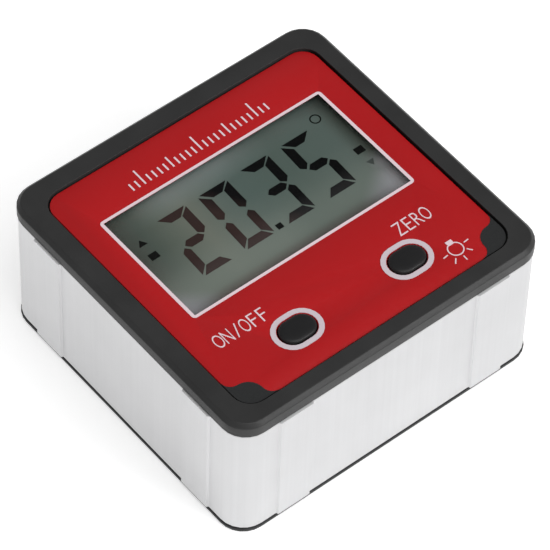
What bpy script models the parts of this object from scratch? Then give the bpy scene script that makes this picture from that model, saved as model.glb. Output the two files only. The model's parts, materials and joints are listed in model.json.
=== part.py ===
import math

import bmesh
import bpy
from mathutils import Matrix, Vector

# Digital angle gauge, lying on its back with the display up.
# Sizes are in metres. X runs along the reading direction, Y to the top of the display,
# and Z out of the display. The origin is under the middle, on the rear cover's rest face.

# Body. Its width follows from the cells and the display inside it, its length from what
# stands on the panel, and its depth from what is stacked between the covers.
CORNER_RADIUS = 0.0040
SEAM = 0.0002            # open line between the frame and each cover
SEAT = 0.0003            # gap under a piece that rests on another
SIDE_FIT = 0.0002        # gap round a spigot, a lens or a button
PANEL_SHIFT_X = 0.0001   # the recess lies a little off the middle of the bezel
PANEL_SHIFT_Y = -0.0003

# Aluminium frame, an extruded tube with two raised rails on each side
FRAME_WALL = 0.0018
FRAME_SETBACK = 0.0001
RAIL_WIDTH = 0.0059
RAIL_HEIGHT = 0.00035
RAIL_SLOPE = 0.0002
RAIL_INSET = 0.0095      # from the body's corner to the rail's middle

# Front bezel
BEZEL_HEIGHT = 0.0024
BEZEL_CHAMFER = 0.0006
BEZEL_SOFT_EDGE = 0.00012
BEZEL_BORDER = 0.0032    # from the outline to the recess
RECESS_RADIUS = 0.0030
DECK_THICKNESS = 0.0015
SPIGOT_WALL = 0.0012
SPIGOT_GAP = 0.0004      # between the spigot and the circuit board
SPIGOT_ROOM = 0.0012     # least room between the spigot and the display's holder

# Front panel and what is printed on it
PANEL_THICKNESS = 0.0008
PANEL_DROP = 0.00035     # panel's face below the bezel's face
PANEL_GAP = 0.00025      # open line round the panel
PANEL_GLUE = 0.0001
PANEL_SOFT_EDGE = 0.00012
PRINT_THICKNESS = 0.00004
PRINT_GAP = 0.00002
CORNER_ARC_RADIUS = 0.0024
CORNER_ARC_INSET = 0.0016
CORNER_FLARE = 0.0024

# Display
WINDOW_WIDTH = 0.0388    # to the middle of the white border
WINDOW_LENGTH = 0.0208
WINDOW_X = 0.0002
WINDOW_MARGIN = 0.00779  # from the panel's upper edge to the window
BORDER_WIDTH = 0.00055
BORDER_RADIUS = 0.0006
WINDOW_FLANGE = 0.0010
WINDOW_FLANGE_THICKNESS = 0.0004
LCD_FRONT_THICKNESS = 0.0009
LCD_REAR_THICKNESS = 0.0011
LCD_LEDGE = 0.0026
LCD_STEP = 0.0002        # rear glass is this much shorter at the other edges
HOLDER_WALL = 0.0010
HOLDER_FLOOR = 0.0006
GUIDE_THICKNESS = 0.00185
LED_WIDTH = 0.0020
LED_LENGTH = 0.0034
LED_HEIGHT = 0.0017
STRIP_INSET = 0.0012     # from the glass's side edges to the ends of the contact strip

# Circuit board
BOARD_THICKNESS = 0.0016
BOARD_SIDE_GAP = 0.0003
BOARD_RADIUS = 0.0020
BOARD_HOLE_RADIUS = 0.0013
SENSOR_SIZE = 0.0050
SENSOR_HEIGHT = 0.0014
CHIP_RADIUS = 0.0045
CHIP_HEIGHT = 0.0012
CRYSTAL_RADIUS = 0.00105
CRYSTAL_LENGTH = 0.0062
CRYSTAL_X = 0.0080
CRYSTAL_EDGE = 0.0063    # from the board's upper edge

# Buttons and the switches under them
BUTTON_SPACING = 0.0194
BUTTON_EDGE = 0.00635    # from the panel's lower edge to the buttons' middles
BUTTON_BELOW = 0.01016   # from the window down to the buttons' middles
BUTTON_TRAVEL = 0.00035
BUTTON_LENGTH = 0.0056
BUTTON_WIDTH = 0.0039
BUTTON_PROUD = 0.00045   # top of the dome above the panel
BUTTON_CROWN = 0.00025
BUTTON_FLANGE = 0.0011
BUTTON_FLANGE_THICKNESS = 0.0007
RING_WIDTH = 0.00078
SWITCH_SIZE = 0.0060
SWITCH_HEIGHT = 0.0023
PLUNGER_RADIUS = 0.0016
PLUNGER_WELL = 0.0014    # depth of the hole that the plunger stands in

# Rear cover and battery bay
RIM_THICKNESS = 0.0006
RIM_SOFT_EDGE = 0.0002
BASE_THICKNESS = 0.0018
PLUG_WALL = 0.0013
BAY_WALL = 0.0012
BAY_END_WALL = 0.00135
BAY_CEILING = 0.0010
DOOR_THICKNESS = 0.0012
DOOR_RECESS = 0.0003
DOOR_LAP = 0.0010        # ledge that the door's long sides close on
DOOR_END_LAP = 0.0003
DOOR_RADIUS = 0.0008
DOOR_SOFT_EDGE = 0.0002
TONGUE_LENGTH = 0.0010
TONGUE_WIDTH = 0.0018
TONGUE_THICKNESS = 0.00055
TONGUE_INSET = 0.0012    # from the side of the bay
TONGUE_ROOM = 0.0003
HINGE_INSET = 0.00045    # joint axis from the door's edge
HINGE_HEIGHT = 0.00045
LATCH_WIDTH = 0.0070
LATCH_LENGTH = 0.0048
LATCH_SLIT = 0.0005
LATCH_NIB = 0.0002
THUMB_RADIUS = 0.0026
THUMB_REACH = 0.0009     # how far the thumb notch goes past the door
THUMB_DEPTH = 0.0009
GRIP_COUNT = 3
GRIP_PITCH = 0.0014
GRIP_WIDTH = 0.0005
GRIP_DEPTH = 0.0003

# Batteries and their contacts
CELL_LENGTH = 0.0445
CELL_RADIUS = 0.00525
CELL_SPACING = 0.0109
CELL_SIDE_GAP = 0.0004
NIPPLE_LENGTH = 0.0010
NIPPLE_RADIUS = 0.0019
CELL_EDGE = 0.0004
CONTACT_ROOM = 0.0013    # between a cell's end and the bay's wall
CONTACT_BACK_GAP = 0.0002
CONTACT_THICKNESS = 0.0003
CONTACT_WIDTH = 0.0060
CONTACT_HEIGHT = 0.0077
CONTACT_RISE = 0.0003    # its middle above the cells' axes
TAB_WIDTH = 0.0022
SPRING_WIRE_RADIUS = 0.0002
SPRING_GAP = 0.0001
SPRING_TURNS = 2
SPRING_OUTER_RADIUS = 0.0028
SPRING_INNER_RADIUS = 0.0013

# Screws and magnets
SCREW_INSET = 0.0039     # from the inside of the frame to a screw's axis
SCREW_RADIUS = 0.0010
SCREW_HEAD_RADIUS = 0.0019
SCREW_HEAD_HEIGHT = 0.0012
SCREW_HOLE_CLEARANCE = 0.0002
SCREW_TIP_DEPTH = 0.0037 # from the bezel's face down to the end of a screw
SCREW_SLOT_WIDTH = 0.0005
SCREW_SLOT_LENGTH = 0.0021
SCREW_SLOT_DEPTH = 0.0006
COUNTERBORE_DEPTH = 0.0030
TOWER_RADIUS = 0.0030
BOSS_RADIUS = 0.0025
MAGNET_WIDTH = 0.0080
MAGNET_THICKNESS = 0.0020
MAGNET_HEIGHT = 0.0080
MAGNET_HEADROOM = 0.0011
MAGNET_SIDE_GAP = 0.0007

# Steps of the round shapes
CORNER_STEPS = 6
ROUND_STEPS = 24
FINE_STEPS = 16
WELD = 0.000002
OVERLAP = 0.0004         # how far joined solids run into each other

# Levels along Z, from the rear up
DOOR_BOTTOM = DOOR_RECESS
DOOR_TOP = DOOR_BOTTOM + DOOR_THICKNESS
POCKET_TOP = DOOR_TOP + SEAT
CELL_LEVEL = POCKET_TOP + CELL_RADIUS
BAY_TOP = CELL_LEVEL + CELL_RADIUS + SEAT
BOX_TOP = BAY_TOP + BAY_CEILING
BOARD_BOTTOM = BOX_TOP + SEAT + CHIP_HEIGHT + SEAT
BOARD_TOP = BOARD_BOTTOM + BOARD_THICKNESS
HOLDER_BOTTOM = BOARD_TOP + SEAT
GUIDE_BOTTOM = HOLDER_BOTTOM + HOLDER_FLOOR + SEAT
GUIDE_TOP = GUIDE_BOTTOM + GUIDE_THICKNESS
LCD_BOTTOM = GUIDE_TOP + SEAT
LCD_STEP_LEVEL = LCD_BOTTOM + LCD_REAR_THICKNESS
LCD_TOP = LCD_STEP_LEVEL + LCD_FRONT_THICKNESS
WINDOW_BOTTOM = LCD_TOP + SEAT
PANEL_BOTTOM = WINDOW_BOTTOM + WINDOW_FLANGE_THICKNESS + PANEL_GLUE
PANEL_TOP = PANEL_BOTTOM + PANEL_THICKNESS
BODY_DEPTH = PANEL_TOP + PANEL_DROP
DECK_TOP = PANEL_BOTTOM - PANEL_GLUE
DECK_BOTTOM = DECK_TOP - DECK_THICKNESS
HOLDER_TOP = DECK_BOTTOM - SEAT
BEZEL_BOTTOM = BODY_DEPTH - BEZEL_HEIGHT
SPIGOT_BOTTOM = BOARD_TOP + SPIGOT_GAP
FRAME_BOTTOM = RIM_THICKNESS + SEAM
FRAME_TOP = BEZEL_BOTTOM - SEAM
TOWER_TOP = BOARD_BOTTOM - SEAT
MAGNET_BOTTOM = BOARD_BOTTOM - MAGNET_HEADROOM - MAGNET_HEIGHT
PLUG_HEIGHT = MAGNET_BOTTOM - SEAT
CONTACT_TOP = CELL_LEVEL + CONTACT_RISE + CONTACT_HEIGHT / 2
CONTACT_BOTTOM = CONTACT_TOP - CONTACT_HEIGHT
BUTTON_BOTTOM = DECK_BOTTOM - SEAT - BUTTON_FLANGE_THICKNESS
BUTTON_TOP = PANEL_TOP + BUTTON_PROUD
SWITCH_BOTTOM = BOARD_TOP + SEAT
SWITCH_TOP = SWITCH_BOTTOM + SWITCH_HEIGHT
PLUNGER_TOP = BUTTON_BOTTOM - SEAT
PLUNGER_BOTTOM = SWITCH_TOP - PLUNGER_WELL + BUTTON_TRAVEL + SEAT
SCREW_TIP = BODY_DEPTH - SCREW_TIP_DEPTH

# Widths and lengths that follow from them
LENS_WIDTH = WINDOW_WIDTH - 2 * SIDE_FIT
LENS_LENGTH = WINDOW_LENGTH - 2 * SIDE_FIT
LCD_WIDTH = LENS_WIDTH + 2 * WINDOW_FLANGE
LCD_LENGTH = LENS_LENGTH + 2 * WINDOW_FLANGE
APERTURE_WIDTH = LCD_WIDTH + 2 * SEAT
APERTURE_LENGTH = LCD_LENGTH + 2 * SEAT
BAY_LENGTH = CELL_LENGTH + 2 * CONTACT_ROOM
BAY_WIDTH = CELL_SPACING + 2 * CELL_RADIUS + 2 * CELL_SIDE_GAP
BOX_WIDTH = BAY_WIDTH + 2 * BAY_WALL
WIDTH_FOR_CELLS = BAY_LENGTH + 2 * BAY_END_WALL
WIDTH_FOR_DISPLAY = APERTURE_WIDTH + 2 * (HOLDER_WALL + WINDOW_X + SPIGOT_ROOM + SPIGOT_WALL)
PLUG_WIDTH = max(WIDTH_FOR_CELLS, WIDTH_FOR_DISPLAY)
TUBE_WIDTH = PLUG_WIDTH + 2 * SIDE_FIT
FRAME_WIDTH = TUBE_WIDTH + 2 * FRAME_WALL
BODY_WIDTH = FRAME_WIDTH + 2 * FRAME_SETBACK
RECESS_WIDTH = BODY_WIDTH - 2 * BEZEL_BORDER
PANEL_WIDTH = RECESS_WIDTH - 2 * PANEL_GAP
PANEL_LENGTH = WINDOW_MARGIN + WINDOW_LENGTH + BUTTON_BELOW + BUTTON_EDGE
PANEL_RADIUS = RECESS_RADIUS - PANEL_GAP
RECESS_LENGTH = PANEL_LENGTH + 2 * PANEL_GAP
BODY_LENGTH = RECESS_LENGTH + 2 * BEZEL_BORDER
FRAME_LENGTH = BODY_LENGTH - 2 * FRAME_SETBACK
TUBE_LENGTH = FRAME_LENGTH - 2 * FRAME_WALL
TUBE_RADIUS = CORNER_RADIUS - FRAME_WALL
PLUG_LENGTH = TUBE_LENGTH - 2 * SIDE_FIT
PLUG_RADIUS = TUBE_RADIUS - SIDE_FIT
WINDOW_Y = PANEL_SHIFT_Y + PANEL_LENGTH / 2 - WINDOW_MARGIN - WINDOW_LENGTH / 2
REAR_GLASS_LENGTH = LCD_LENGTH - LCD_LEDGE - LCD_STEP
REAR_GLASS_Y = WINDOW_Y + (LCD_LEDGE - LCD_STEP) / 2
LED_X = WINDOW_X + APERTURE_WIDTH / 2 - 2 * SEAT - LED_WIDTH / 2
GUIDE_WIDTH = APERTURE_WIDTH - 2 * (LED_WIDTH + 3 * SEAT)
STRIP_LENGTH = LCD_WIDTH - 2 * STRIP_INSET
STRIP_WIDTH = LCD_LEDGE - 2 * SEAT
STRIP_Y = WINDOW_Y - LCD_LENGTH / 2 + LCD_LEDGE / 2
BUTTON_Y = PANEL_SHIFT_Y - PANEL_LENGTH / 2 + BUTTON_EDGE
CRYSTAL_Y = TUBE_LENGTH / 2 - BOARD_SIDE_GAP - CRYSTAL_EDGE
BUTTON_HOLE_LENGTH = BUTTON_LENGTH + 2 * SIDE_FIT
BUTTON_HOLE_WIDTH = BUTTON_WIDTH + 2 * SIDE_FIT
BUTTONS = {"on_off": PANEL_SHIFT_X - BUTTON_SPACING / 2, "zero": PANEL_SHIFT_X + BUTTON_SPACING / 2}
DOOR_POCKET_LENGTH = BAY_LENGTH + 2 * DOOR_END_LAP
DOOR_POCKET_WIDTH = BAY_WIDTH + 2 * DOOR_LAP
DOOR_LENGTH = DOOR_POCKET_LENGTH - 2 * SEAT
DOOR_WIDTH = DOOR_POCKET_WIDTH - 2 * SEAT
HINGE_X = -DOOR_LENGTH / 2 + HINGE_INSET
TONGUE_Y = BAY_WIDTH / 2 - TONGUE_INSET
CONTACT_X = BAY_LENGTH / 2 - CONTACT_BACK_GAP - CONTACT_THICKNESS / 2
SCREW_X = TUBE_WIDTH / 2 - SCREW_INSET
SCREW_Y = TUBE_LENGTH / 2 - SCREW_INSET
MAGNET_X = SCREW_X - TOWER_RADIUS - MAGNET_SIDE_GAP - MAGNET_WIDTH / 2
SCREW_PLACES = [(SCREW_X, SCREW_Y), (-SCREW_X, SCREW_Y), (-SCREW_X, -SCREW_Y), (SCREW_X, -SCREW_Y)]


def clear_scene():
    for item in list(bpy.data.objects):
        bpy.data.objects.remove(item)


def new_collection(name):
    collection = bpy.data.collections.new(name)
    bpy.context.scene.collection.children.link(collection)
    return collection


def new_material(name, colour, roughness, metallic=0.0, alpha=1.0):
    material = bpy.data.materials.new(name)
    material.use_nodes = True
    shader = material.node_tree.nodes["Principled BSDF"]
    shader.inputs["Base Color"].default_value = (*colour, 1.0)
    shader.inputs["Roughness"].default_value = roughness
    shader.inputs["Metallic"].default_value = metallic
    shader.inputs["Alpha"].default_value = alpha
    return material


# Outlines, as lists of points that run counter-clockwise

def arc(centre, radius, start, end, steps):
    points = []
    for step in range(steps + 1):
        angle = math.radians(start + (end - start) * step / steps)
        points.append((centre[0] + radius * math.cos(angle), centre[1] + radius * math.sin(angle)))
    return points


def rounded_rectangle(width, length, radius, centre=(0.0, 0.0), steps=CORNER_STEPS):
    points = []
    for quarter, (side_x, side_y) in enumerate(((1, 1), (-1, 1), (-1, -1), (1, -1))):
        middle = (centre[0] + side_x * (width / 2 - radius), centre[1] + side_y * (length / 2 - radius))
        points += arc(middle, radius, 90 * quarter, 90 * quarter + 90, steps)
    return points


def rectangle(width, length, centre=(0.0, 0.0)):
    return [(centre[0] + side_x * width / 2, centre[1] + side_y * length / 2)
            for side_x, side_y in ((1, 1), (-1, 1), (-1, -1), (1, -1))]


def circle(radius, centre=(0.0, 0.0), steps=ROUND_STEPS):
    return arc(centre, radius, 0, 360 - 360 / steps, steps - 1)


def obround(length, width, centre=(0.0, 0.0)):
    straight = (length - width) / 2
    right = arc((centre[0] + straight, centre[1]), width / 2, -90, 90, ROUND_STEPS // 2)
    left = arc((centre[0] - straight, centre[1]), width / 2, 90, 270, ROUND_STEPS // 2)
    return right + left


def railed_outline(width, length, radius):
    # A rounded rectangle whose four sides each carry two low rails.
    points = []
    for quarter in range(4):
        reach, run = (width / 2, length / 2) if quarter % 2 == 0 else (length / 2, width / 2)
        side = []
        for middle in (RAIL_INSET - run, run - RAIL_INSET):
            side.append((reach, middle - RAIL_WIDTH / 2))
            side.append((reach + RAIL_HEIGHT, middle - RAIL_WIDTH / 2 + RAIL_SLOPE))
            side.append((reach + RAIL_HEIGHT, middle + RAIL_WIDTH / 2 - RAIL_SLOPE))
            side.append((reach, middle + RAIL_WIDTH / 2))
        side += arc((reach - radius, run - radius), radius, 0, 90, CORNER_STEPS)
        turn = Matrix.Rotation(math.radians(90 * quarter), 2)
        points += [tuple(turn @ Vector(point)) for point in side]
    return points


def corner_field(side):
    # Black field in a lower corner of the panel. Its free edge is an arc round the corner
    # that flares out to both edges of the panel. Drawn for the right-hand corner, then mirrored.
    edge_x = PANEL_WIDTH / 2
    edge_y = -PANEL_LENGTH / 2
    middle = (edge_x - CORNER_ARC_INSET, edge_y + CORNER_ARC_INSET)
    reach = CORNER_FLARE + CORNER_ARC_INSET
    flare = (reach ** 2 + CORNER_ARC_INSET ** 2 - CORNER_ARC_RADIUS ** 2)
    flare /= 2 * (CORNER_ARC_RADIUS + CORNER_ARC_INSET)
    tilt = math.degrees(math.atan2(reach, CORNER_ARC_INSET - flare))
    upper = (edge_x - flare, middle[1] + reach)
    lower = (middle[0] - reach, edge_y + flare)
    meet = math.degrees(math.atan2(upper[1] - middle[1], upper[0] - middle[0]))
    points = arc((edge_x - PANEL_RADIUS, edge_y + PANEL_RADIUS), PANEL_RADIUS, -90, 0, CORNER_STEPS)
    points += arc(upper, flare, 0, meet - 180, CORNER_STEPS)
    points += arc(middle, CORNER_ARC_RADIUS, meet, 270 - meet, 2 * CORNER_STEPS)[1:-1]
    points += arc(lower, flare, 90 - meet, -90, CORNER_STEPS)
    placed = [(side * x + PANEL_SHIFT_X, y + PANEL_SHIFT_Y) for x, y in points]
    return placed if side > 0 else placed[::-1]


# Solids

class Workshop:
    def __init__(self):
        clear_scene()
        self.parts = new_collection("digital_angle_gauge")
        self.tools = new_collection("cutters")
        self.materials = {
            "black_abs": new_material("black_abs", (0.035, 0.035, 0.036), 0.55),
            "anodised_aluminium": new_material("anodised_aluminium", (0.80, 0.80, 0.80), 0.35, 1.0),
            "red_panel": new_material("red_panel", (0.38, 0.016, 0.021), 0.25),
            "clear_window": new_material("clear_window", (0.90, 0.93, 0.92), 0.05, 0.0, 0.35),
            "white_print": new_material("white_print", (0.75, 0.74, 0.76), 0.4),
            "black_print": new_material("black_print", (0.02, 0.02, 0.02), 0.3),
            "lcd_glass": new_material("lcd_glass", (0.11, 0.14, 0.12), 0.15),
            "button_rubber": new_material("button_rubber", (0.02, 0.02, 0.021), 0.5),
            "natural_plastic": new_material("natural_plastic", (0.75, 0.75, 0.72), 0.4),
            "green_board": new_material("green_board", (0.02, 0.16, 0.05), 0.45),
            "chip_black": new_material("chip_black", (0.015, 0.015, 0.015), 0.4),
            "bright_steel": new_material("bright_steel", (0.60, 0.60, 0.58), 0.3, 1.0),
            "cell_jacket": new_material("cell_jacket", (0.05, 0.12, 0.30), 0.3),
            "nickel": new_material("nickel", (0.66, 0.63, 0.58), 0.25, 1.0),
            "led_white": new_material("led_white", (0.85, 0.85, 0.75), 0.3),
            "contact_rubber": new_material("contact_rubber", (0.55, 0.45, 0.45), 0.7),
        }

    def add(self, name, mesh, material=None):
        item = bpy.data.objects.new(name, mesh)
        if material is None:
            self.tools.objects.link(item)
            item.hide_render = True
            item.display_type = 'WIRE'
        else:
            self.parts.objects.link(item)
            mesh.materials.clear()
            mesh.materials.append(self.materials[material])
        return item

    def plate(self, name, outlines, bottom, top, material=None):
        # A flat outline with its holes, given a thickness, as one closed mesh.
        curve = bpy.data.curves.new(name, 'CURVE')
        curve.dimensions = '2D'
        curve.fill_mode = 'BOTH'
        curve.extrude = (top - bottom) / 2
        for outline in outlines:
            spline = curve.splines.new('POLY')
            spline.points.add(len(outline) - 1)
            for point, (x, y) in zip(spline.points, outline):
                point.co = (x, y, 0.0, 1.0)
            spline.use_cyclic_u = True
        drawing = bpy.data.objects.new(name + "_outline", curve)
        drawing.location.z = (top + bottom) / 2
        self.tools.objects.link(drawing)
        mesh = self.mesh_of(drawing)
        return self.add(name, mesh, material)

    def mesh_of(self, drawing):
        bpy.context.view_layer.update()
        evaluated = drawing.evaluated_get(bpy.context.evaluated_depsgraph_get())
        mesh = bpy.data.meshes.new_from_object(evaluated)
        mesh.transform(drawing.matrix_world)
        bpy.data.objects.remove(drawing)
        shape = bmesh.new()
        shape.from_mesh(mesh)
        bmesh.ops.remove_doubles(shape, verts=shape.verts, dist=WELD)
        bmesh.ops.dissolve_limit(shape, angle_limit=math.radians(1), verts=shape.verts, edges=shape.edges)
        bmesh.ops.recalc_face_normals(shape, faces=shape.faces)
        shape.to_mesh(mesh)
        shape.free()
        return mesh

    def block(self, name, size, centre, material=None):
        # size and centre are given as (x, y, z)
        mesh = bpy.data.meshes.new(name)
        shape = bmesh.new()
        bmesh.ops.create_cube(shape, size=1.0, matrix=Matrix.Translation(centre) @ Matrix.Diagonal((*size, 1.0)))
        shape.to_mesh(mesh)
        shape.free()
        return self.add(name, mesh, material)

    def turned(self, name, profile, place, material, steps=ROUND_STEPS, tilt=0.0):
        # profile is (radius, height) pairs from the top of the axis down the outer side
        mesh = bpy.data.meshes.new(name)
        rows = [(radius, 0.0, height) for radius, height in profile]
        mesh.from_pydata(rows, [(row, row + 1) for row in range(len(rows) - 1)], [])
        item = self.add(name, mesh, material)
        item.location = place
        item.rotation_euler.y = tilt
        screw = item.modifiers.new("turn", 'SCREW')
        screw.axis = 'Z'
        screw.angle = math.tau
        screw.steps = steps
        screw.render_steps = steps
        screw.use_merge_vertices = True
        screw.merge_threshold = WELD
        screw.use_smooth_shade = False
        return item

    def helix(self, name, turns, outer, inner, start, end, wire, place, material):
        # A cone-shaped spring along X, as a bent wire.
        curve = bpy.data.curves.new(name, 'CURVE')
        curve.dimensions = '3D'
        curve.bevel_depth = wire
        curve.bevel_resolution = 1
        curve.use_fill_caps = True
        spline = curve.splines.new('POLY')
        steps = FINE_STEPS * turns
        spline.points.add(steps)
        for step, point in enumerate(spline.points):
            share = step / steps
            angle = math.tau * turns * share
            radius = outer + (inner - outer) * share
            point.co = (start + (end - start) * share, radius * math.cos(angle), radius * math.sin(angle), 1.0)
        drawing = bpy.data.objects.new(name + "_wire", curve)
        drawing.location = place
        self.tools.objects.link(drawing)
        return self.add(name, self.mesh_of(drawing), material)

    def combine(self, item, tool, operation):
        change = item.modifiers.new(tool.name, 'BOOLEAN')
        change.operation = operation
        change.solver = 'EXACT'
        change.object = tool

    def join(self, item, tool):
        self.combine(item, tool, 'UNION')

    def cut(self, item, tool):
        self.combine(item, tool, 'DIFFERENCE')

    def soften(self, item, width, segments=2):
        # Small round edges wherever two faces meet at more than 40 degrees.
        bevel = item.modifiers.new("soft edges", 'BEVEL')
        bevel.limit_method = 'ANGLE'
        bevel.angle_limit = math.radians(40)
        bevel.width = width
        bevel.segments = segments

    def set_pivot(self, item, pivot):
        item.data.transform(Matrix.Translation(-Vector(pivot)))
        item.location = pivot


def bevel_rim(item, level, width, outward):
    # One flat chamfer on the edges that run round the outline at this level.
    shape = bmesh.new()
    shape.from_mesh(item.data)
    rim = []
    for edge in shape.edges:
        ends = [vert.co for vert in edge.verts]
        flat = all(abs(end.z - level) < WELD for end in ends)
        far = all(abs(end.x) > outward[0] or abs(end.y) > outward[1] for end in ends)
        if flat and far and edge.calc_face_angle(0.0) > math.radians(40):
            rim.append(edge)
    bmesh.ops.bevel(shape, geom=rim, offset=width, segments=1, affect='EDGES', profile=0.5)
    shape.to_mesh(item.data)
    shape.free()


def crown(item, level, steps):
    # Raises a flat top into a low dome by stepping inwards and up.
    shape = bmesh.new()
    shape.from_mesh(item.data)
    shape.normal_update()
    top = [face for face in shape.faces if face.normal.z > 0.99 and face.calc_center_median().z > level]
    for inward, upward in steps:
        bmesh.ops.inset_region(shape, faces=top, thickness=inward, depth=upward, use_even_offset=True)
    shape.to_mesh(item.data)
    shape.free()


def build_frame(shop):
    outer = railed_outline(FRAME_WIDTH, FRAME_LENGTH, CORNER_RADIUS)
    inner = rounded_rectangle(TUBE_WIDTH, TUBE_LENGTH, TUBE_RADIUS)
    frame = shop.plate("aluminium_frame", [outer, inner], FRAME_BOTTOM, FRAME_TOP, "anodised_aluminium")
    return frame


def build_bezel(shop):
    shift = (PANEL_SHIFT_X, PANEL_SHIFT_Y)
    outer = rounded_rectangle(BODY_WIDTH, BODY_LENGTH, CORNER_RADIUS)
    recess = rounded_rectangle(RECESS_WIDTH, RECESS_LENGTH, RECESS_RADIUS, shift)
    bezel = shop.plate("front_bezel", [outer, recess], BEZEL_BOTTOM, BODY_DEPTH, "black_abs")
    past_recess = BEZEL_BORDER / 3
    bevel_rim(bezel, BODY_DEPTH, BEZEL_CHAMFER, (RECESS_WIDTH / 2 + past_recess, RECESS_LENGTH / 2 + past_recess))
    shop.soften(bezel, BEZEL_SOFT_EDGE)
    lap = 2 * OVERLAP
    deck_edge = rounded_rectangle(RECESS_WIDTH + lap, RECESS_LENGTH + lap, RECESS_RADIUS + OVERLAP, shift)
    holes = [rounded_rectangle(APERTURE_WIDTH, APERTURE_LENGTH, SEAT, (WINDOW_X, WINDOW_Y), 2)]
    for middle in BUTTONS.values():
        holes.append(obround(BUTTON_HOLE_LENGTH, BUTTON_HOLE_WIDTH, (middle, BUTTON_Y)))
    shop.join(bezel, shop.plate("bezel_deck", [deck_edge, *holes], DECK_BOTTOM, DECK_TOP))
    spigot = [rounded_rectangle(PLUG_WIDTH, PLUG_LENGTH, PLUG_RADIUS),
              rounded_rectangle(PLUG_WIDTH - 2 * SPIGOT_WALL, PLUG_LENGTH - 2 * SPIGOT_WALL, SPIGOT_WALL)]
    shop.join(bezel, shop.plate("bezel_spigot", spigot, SPIGOT_BOTTOM, BEZEL_BOTTOM + OVERLAP))
    pilot = SCREW_RADIUS + SCREW_HOLE_CLEARANCE
    for number, place in enumerate(SCREW_PLACES, 1):
        boss = shop.plate(f"bezel_boss_{number}", [circle(BOSS_RADIUS, place)], HOLDER_BOTTOM, DECK_BOTTOM + OVERLAP)
        shop.join(bezel, boss)
        hole = shop.plate(f"bezel_pilot_{number}", [circle(pilot, place)],
                          HOLDER_BOTTOM - OVERLAP, SCREW_TIP + SEAT)
        shop.cut(bezel, hole)


def build_panel(shop):
    shift = (PANEL_SHIFT_X, PANEL_SHIFT_Y)
    window = (WINDOW_X, WINDOW_Y)
    outlines = [rounded_rectangle(PANEL_WIDTH, PANEL_LENGTH, PANEL_RADIUS, shift)]
    outlines.append(rounded_rectangle(WINDOW_WIDTH, WINDOW_LENGTH, SIDE_FIT, window, 2))
    for middle in BUTTONS.values():
        outlines.append(obround(BUTTON_HOLE_LENGTH, BUTTON_HOLE_WIDTH, (middle, BUTTON_Y)))
    panel = shop.plate("front_panel", outlines, PANEL_BOTTOM, PANEL_TOP, "red_panel")
    shop.soften(panel, PANEL_SOFT_EDGE)

    lens = shop.plate("display_window", [rectangle(LENS_WIDTH, LENS_LENGTH, window)],
                      WINDOW_BOTTOM + OVERLAP / 2, PANEL_TOP, "clear_window")
    flange = shop.plate("window_flange", [rectangle(LCD_WIDTH, LCD_LENGTH, window)],
                        WINDOW_BOTTOM, WINDOW_BOTTOM + WINDOW_FLANGE_THICKNESS)
    shop.join(lens, flange)


def build_prints(shop):
    bottom = PANEL_TOP + PRINT_GAP
    top = bottom + PRINT_THICKNESS
    window = (WINDOW_X, WINDOW_Y)
    border = [rounded_rectangle(WINDOW_WIDTH + BORDER_WIDTH, WINDOW_LENGTH + BORDER_WIDTH, BORDER_RADIUS, window, 3),
              rectangle(WINDOW_WIDTH - BORDER_WIDTH, WINDOW_LENGTH - BORDER_WIDTH, window)]
    shop.plate("window_border_print", border, bottom, top, "white_print")
    for name, middle in BUTTONS.items():
        gap = 2 * PANEL_SOFT_EDGE
        inner = obround(BUTTON_HOLE_LENGTH + gap, BUTTON_HOLE_WIDTH + gap, (middle, BUTTON_Y))
        reach = gap + 2 * RING_WIDTH
        outer = obround(BUTTON_HOLE_LENGTH + reach, BUTTON_HOLE_WIDTH + reach, (middle, BUTTON_Y))
        shop.plate(f"{name}_ring_print", [outer, inner], bottom, top, "white_print")
    shop.plate("left_corner_print", [corner_field(-1)], bottom, top, "black_print")
    shop.plate("right_corner_print", [corner_field(1)], bottom, top, "black_print")


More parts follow.
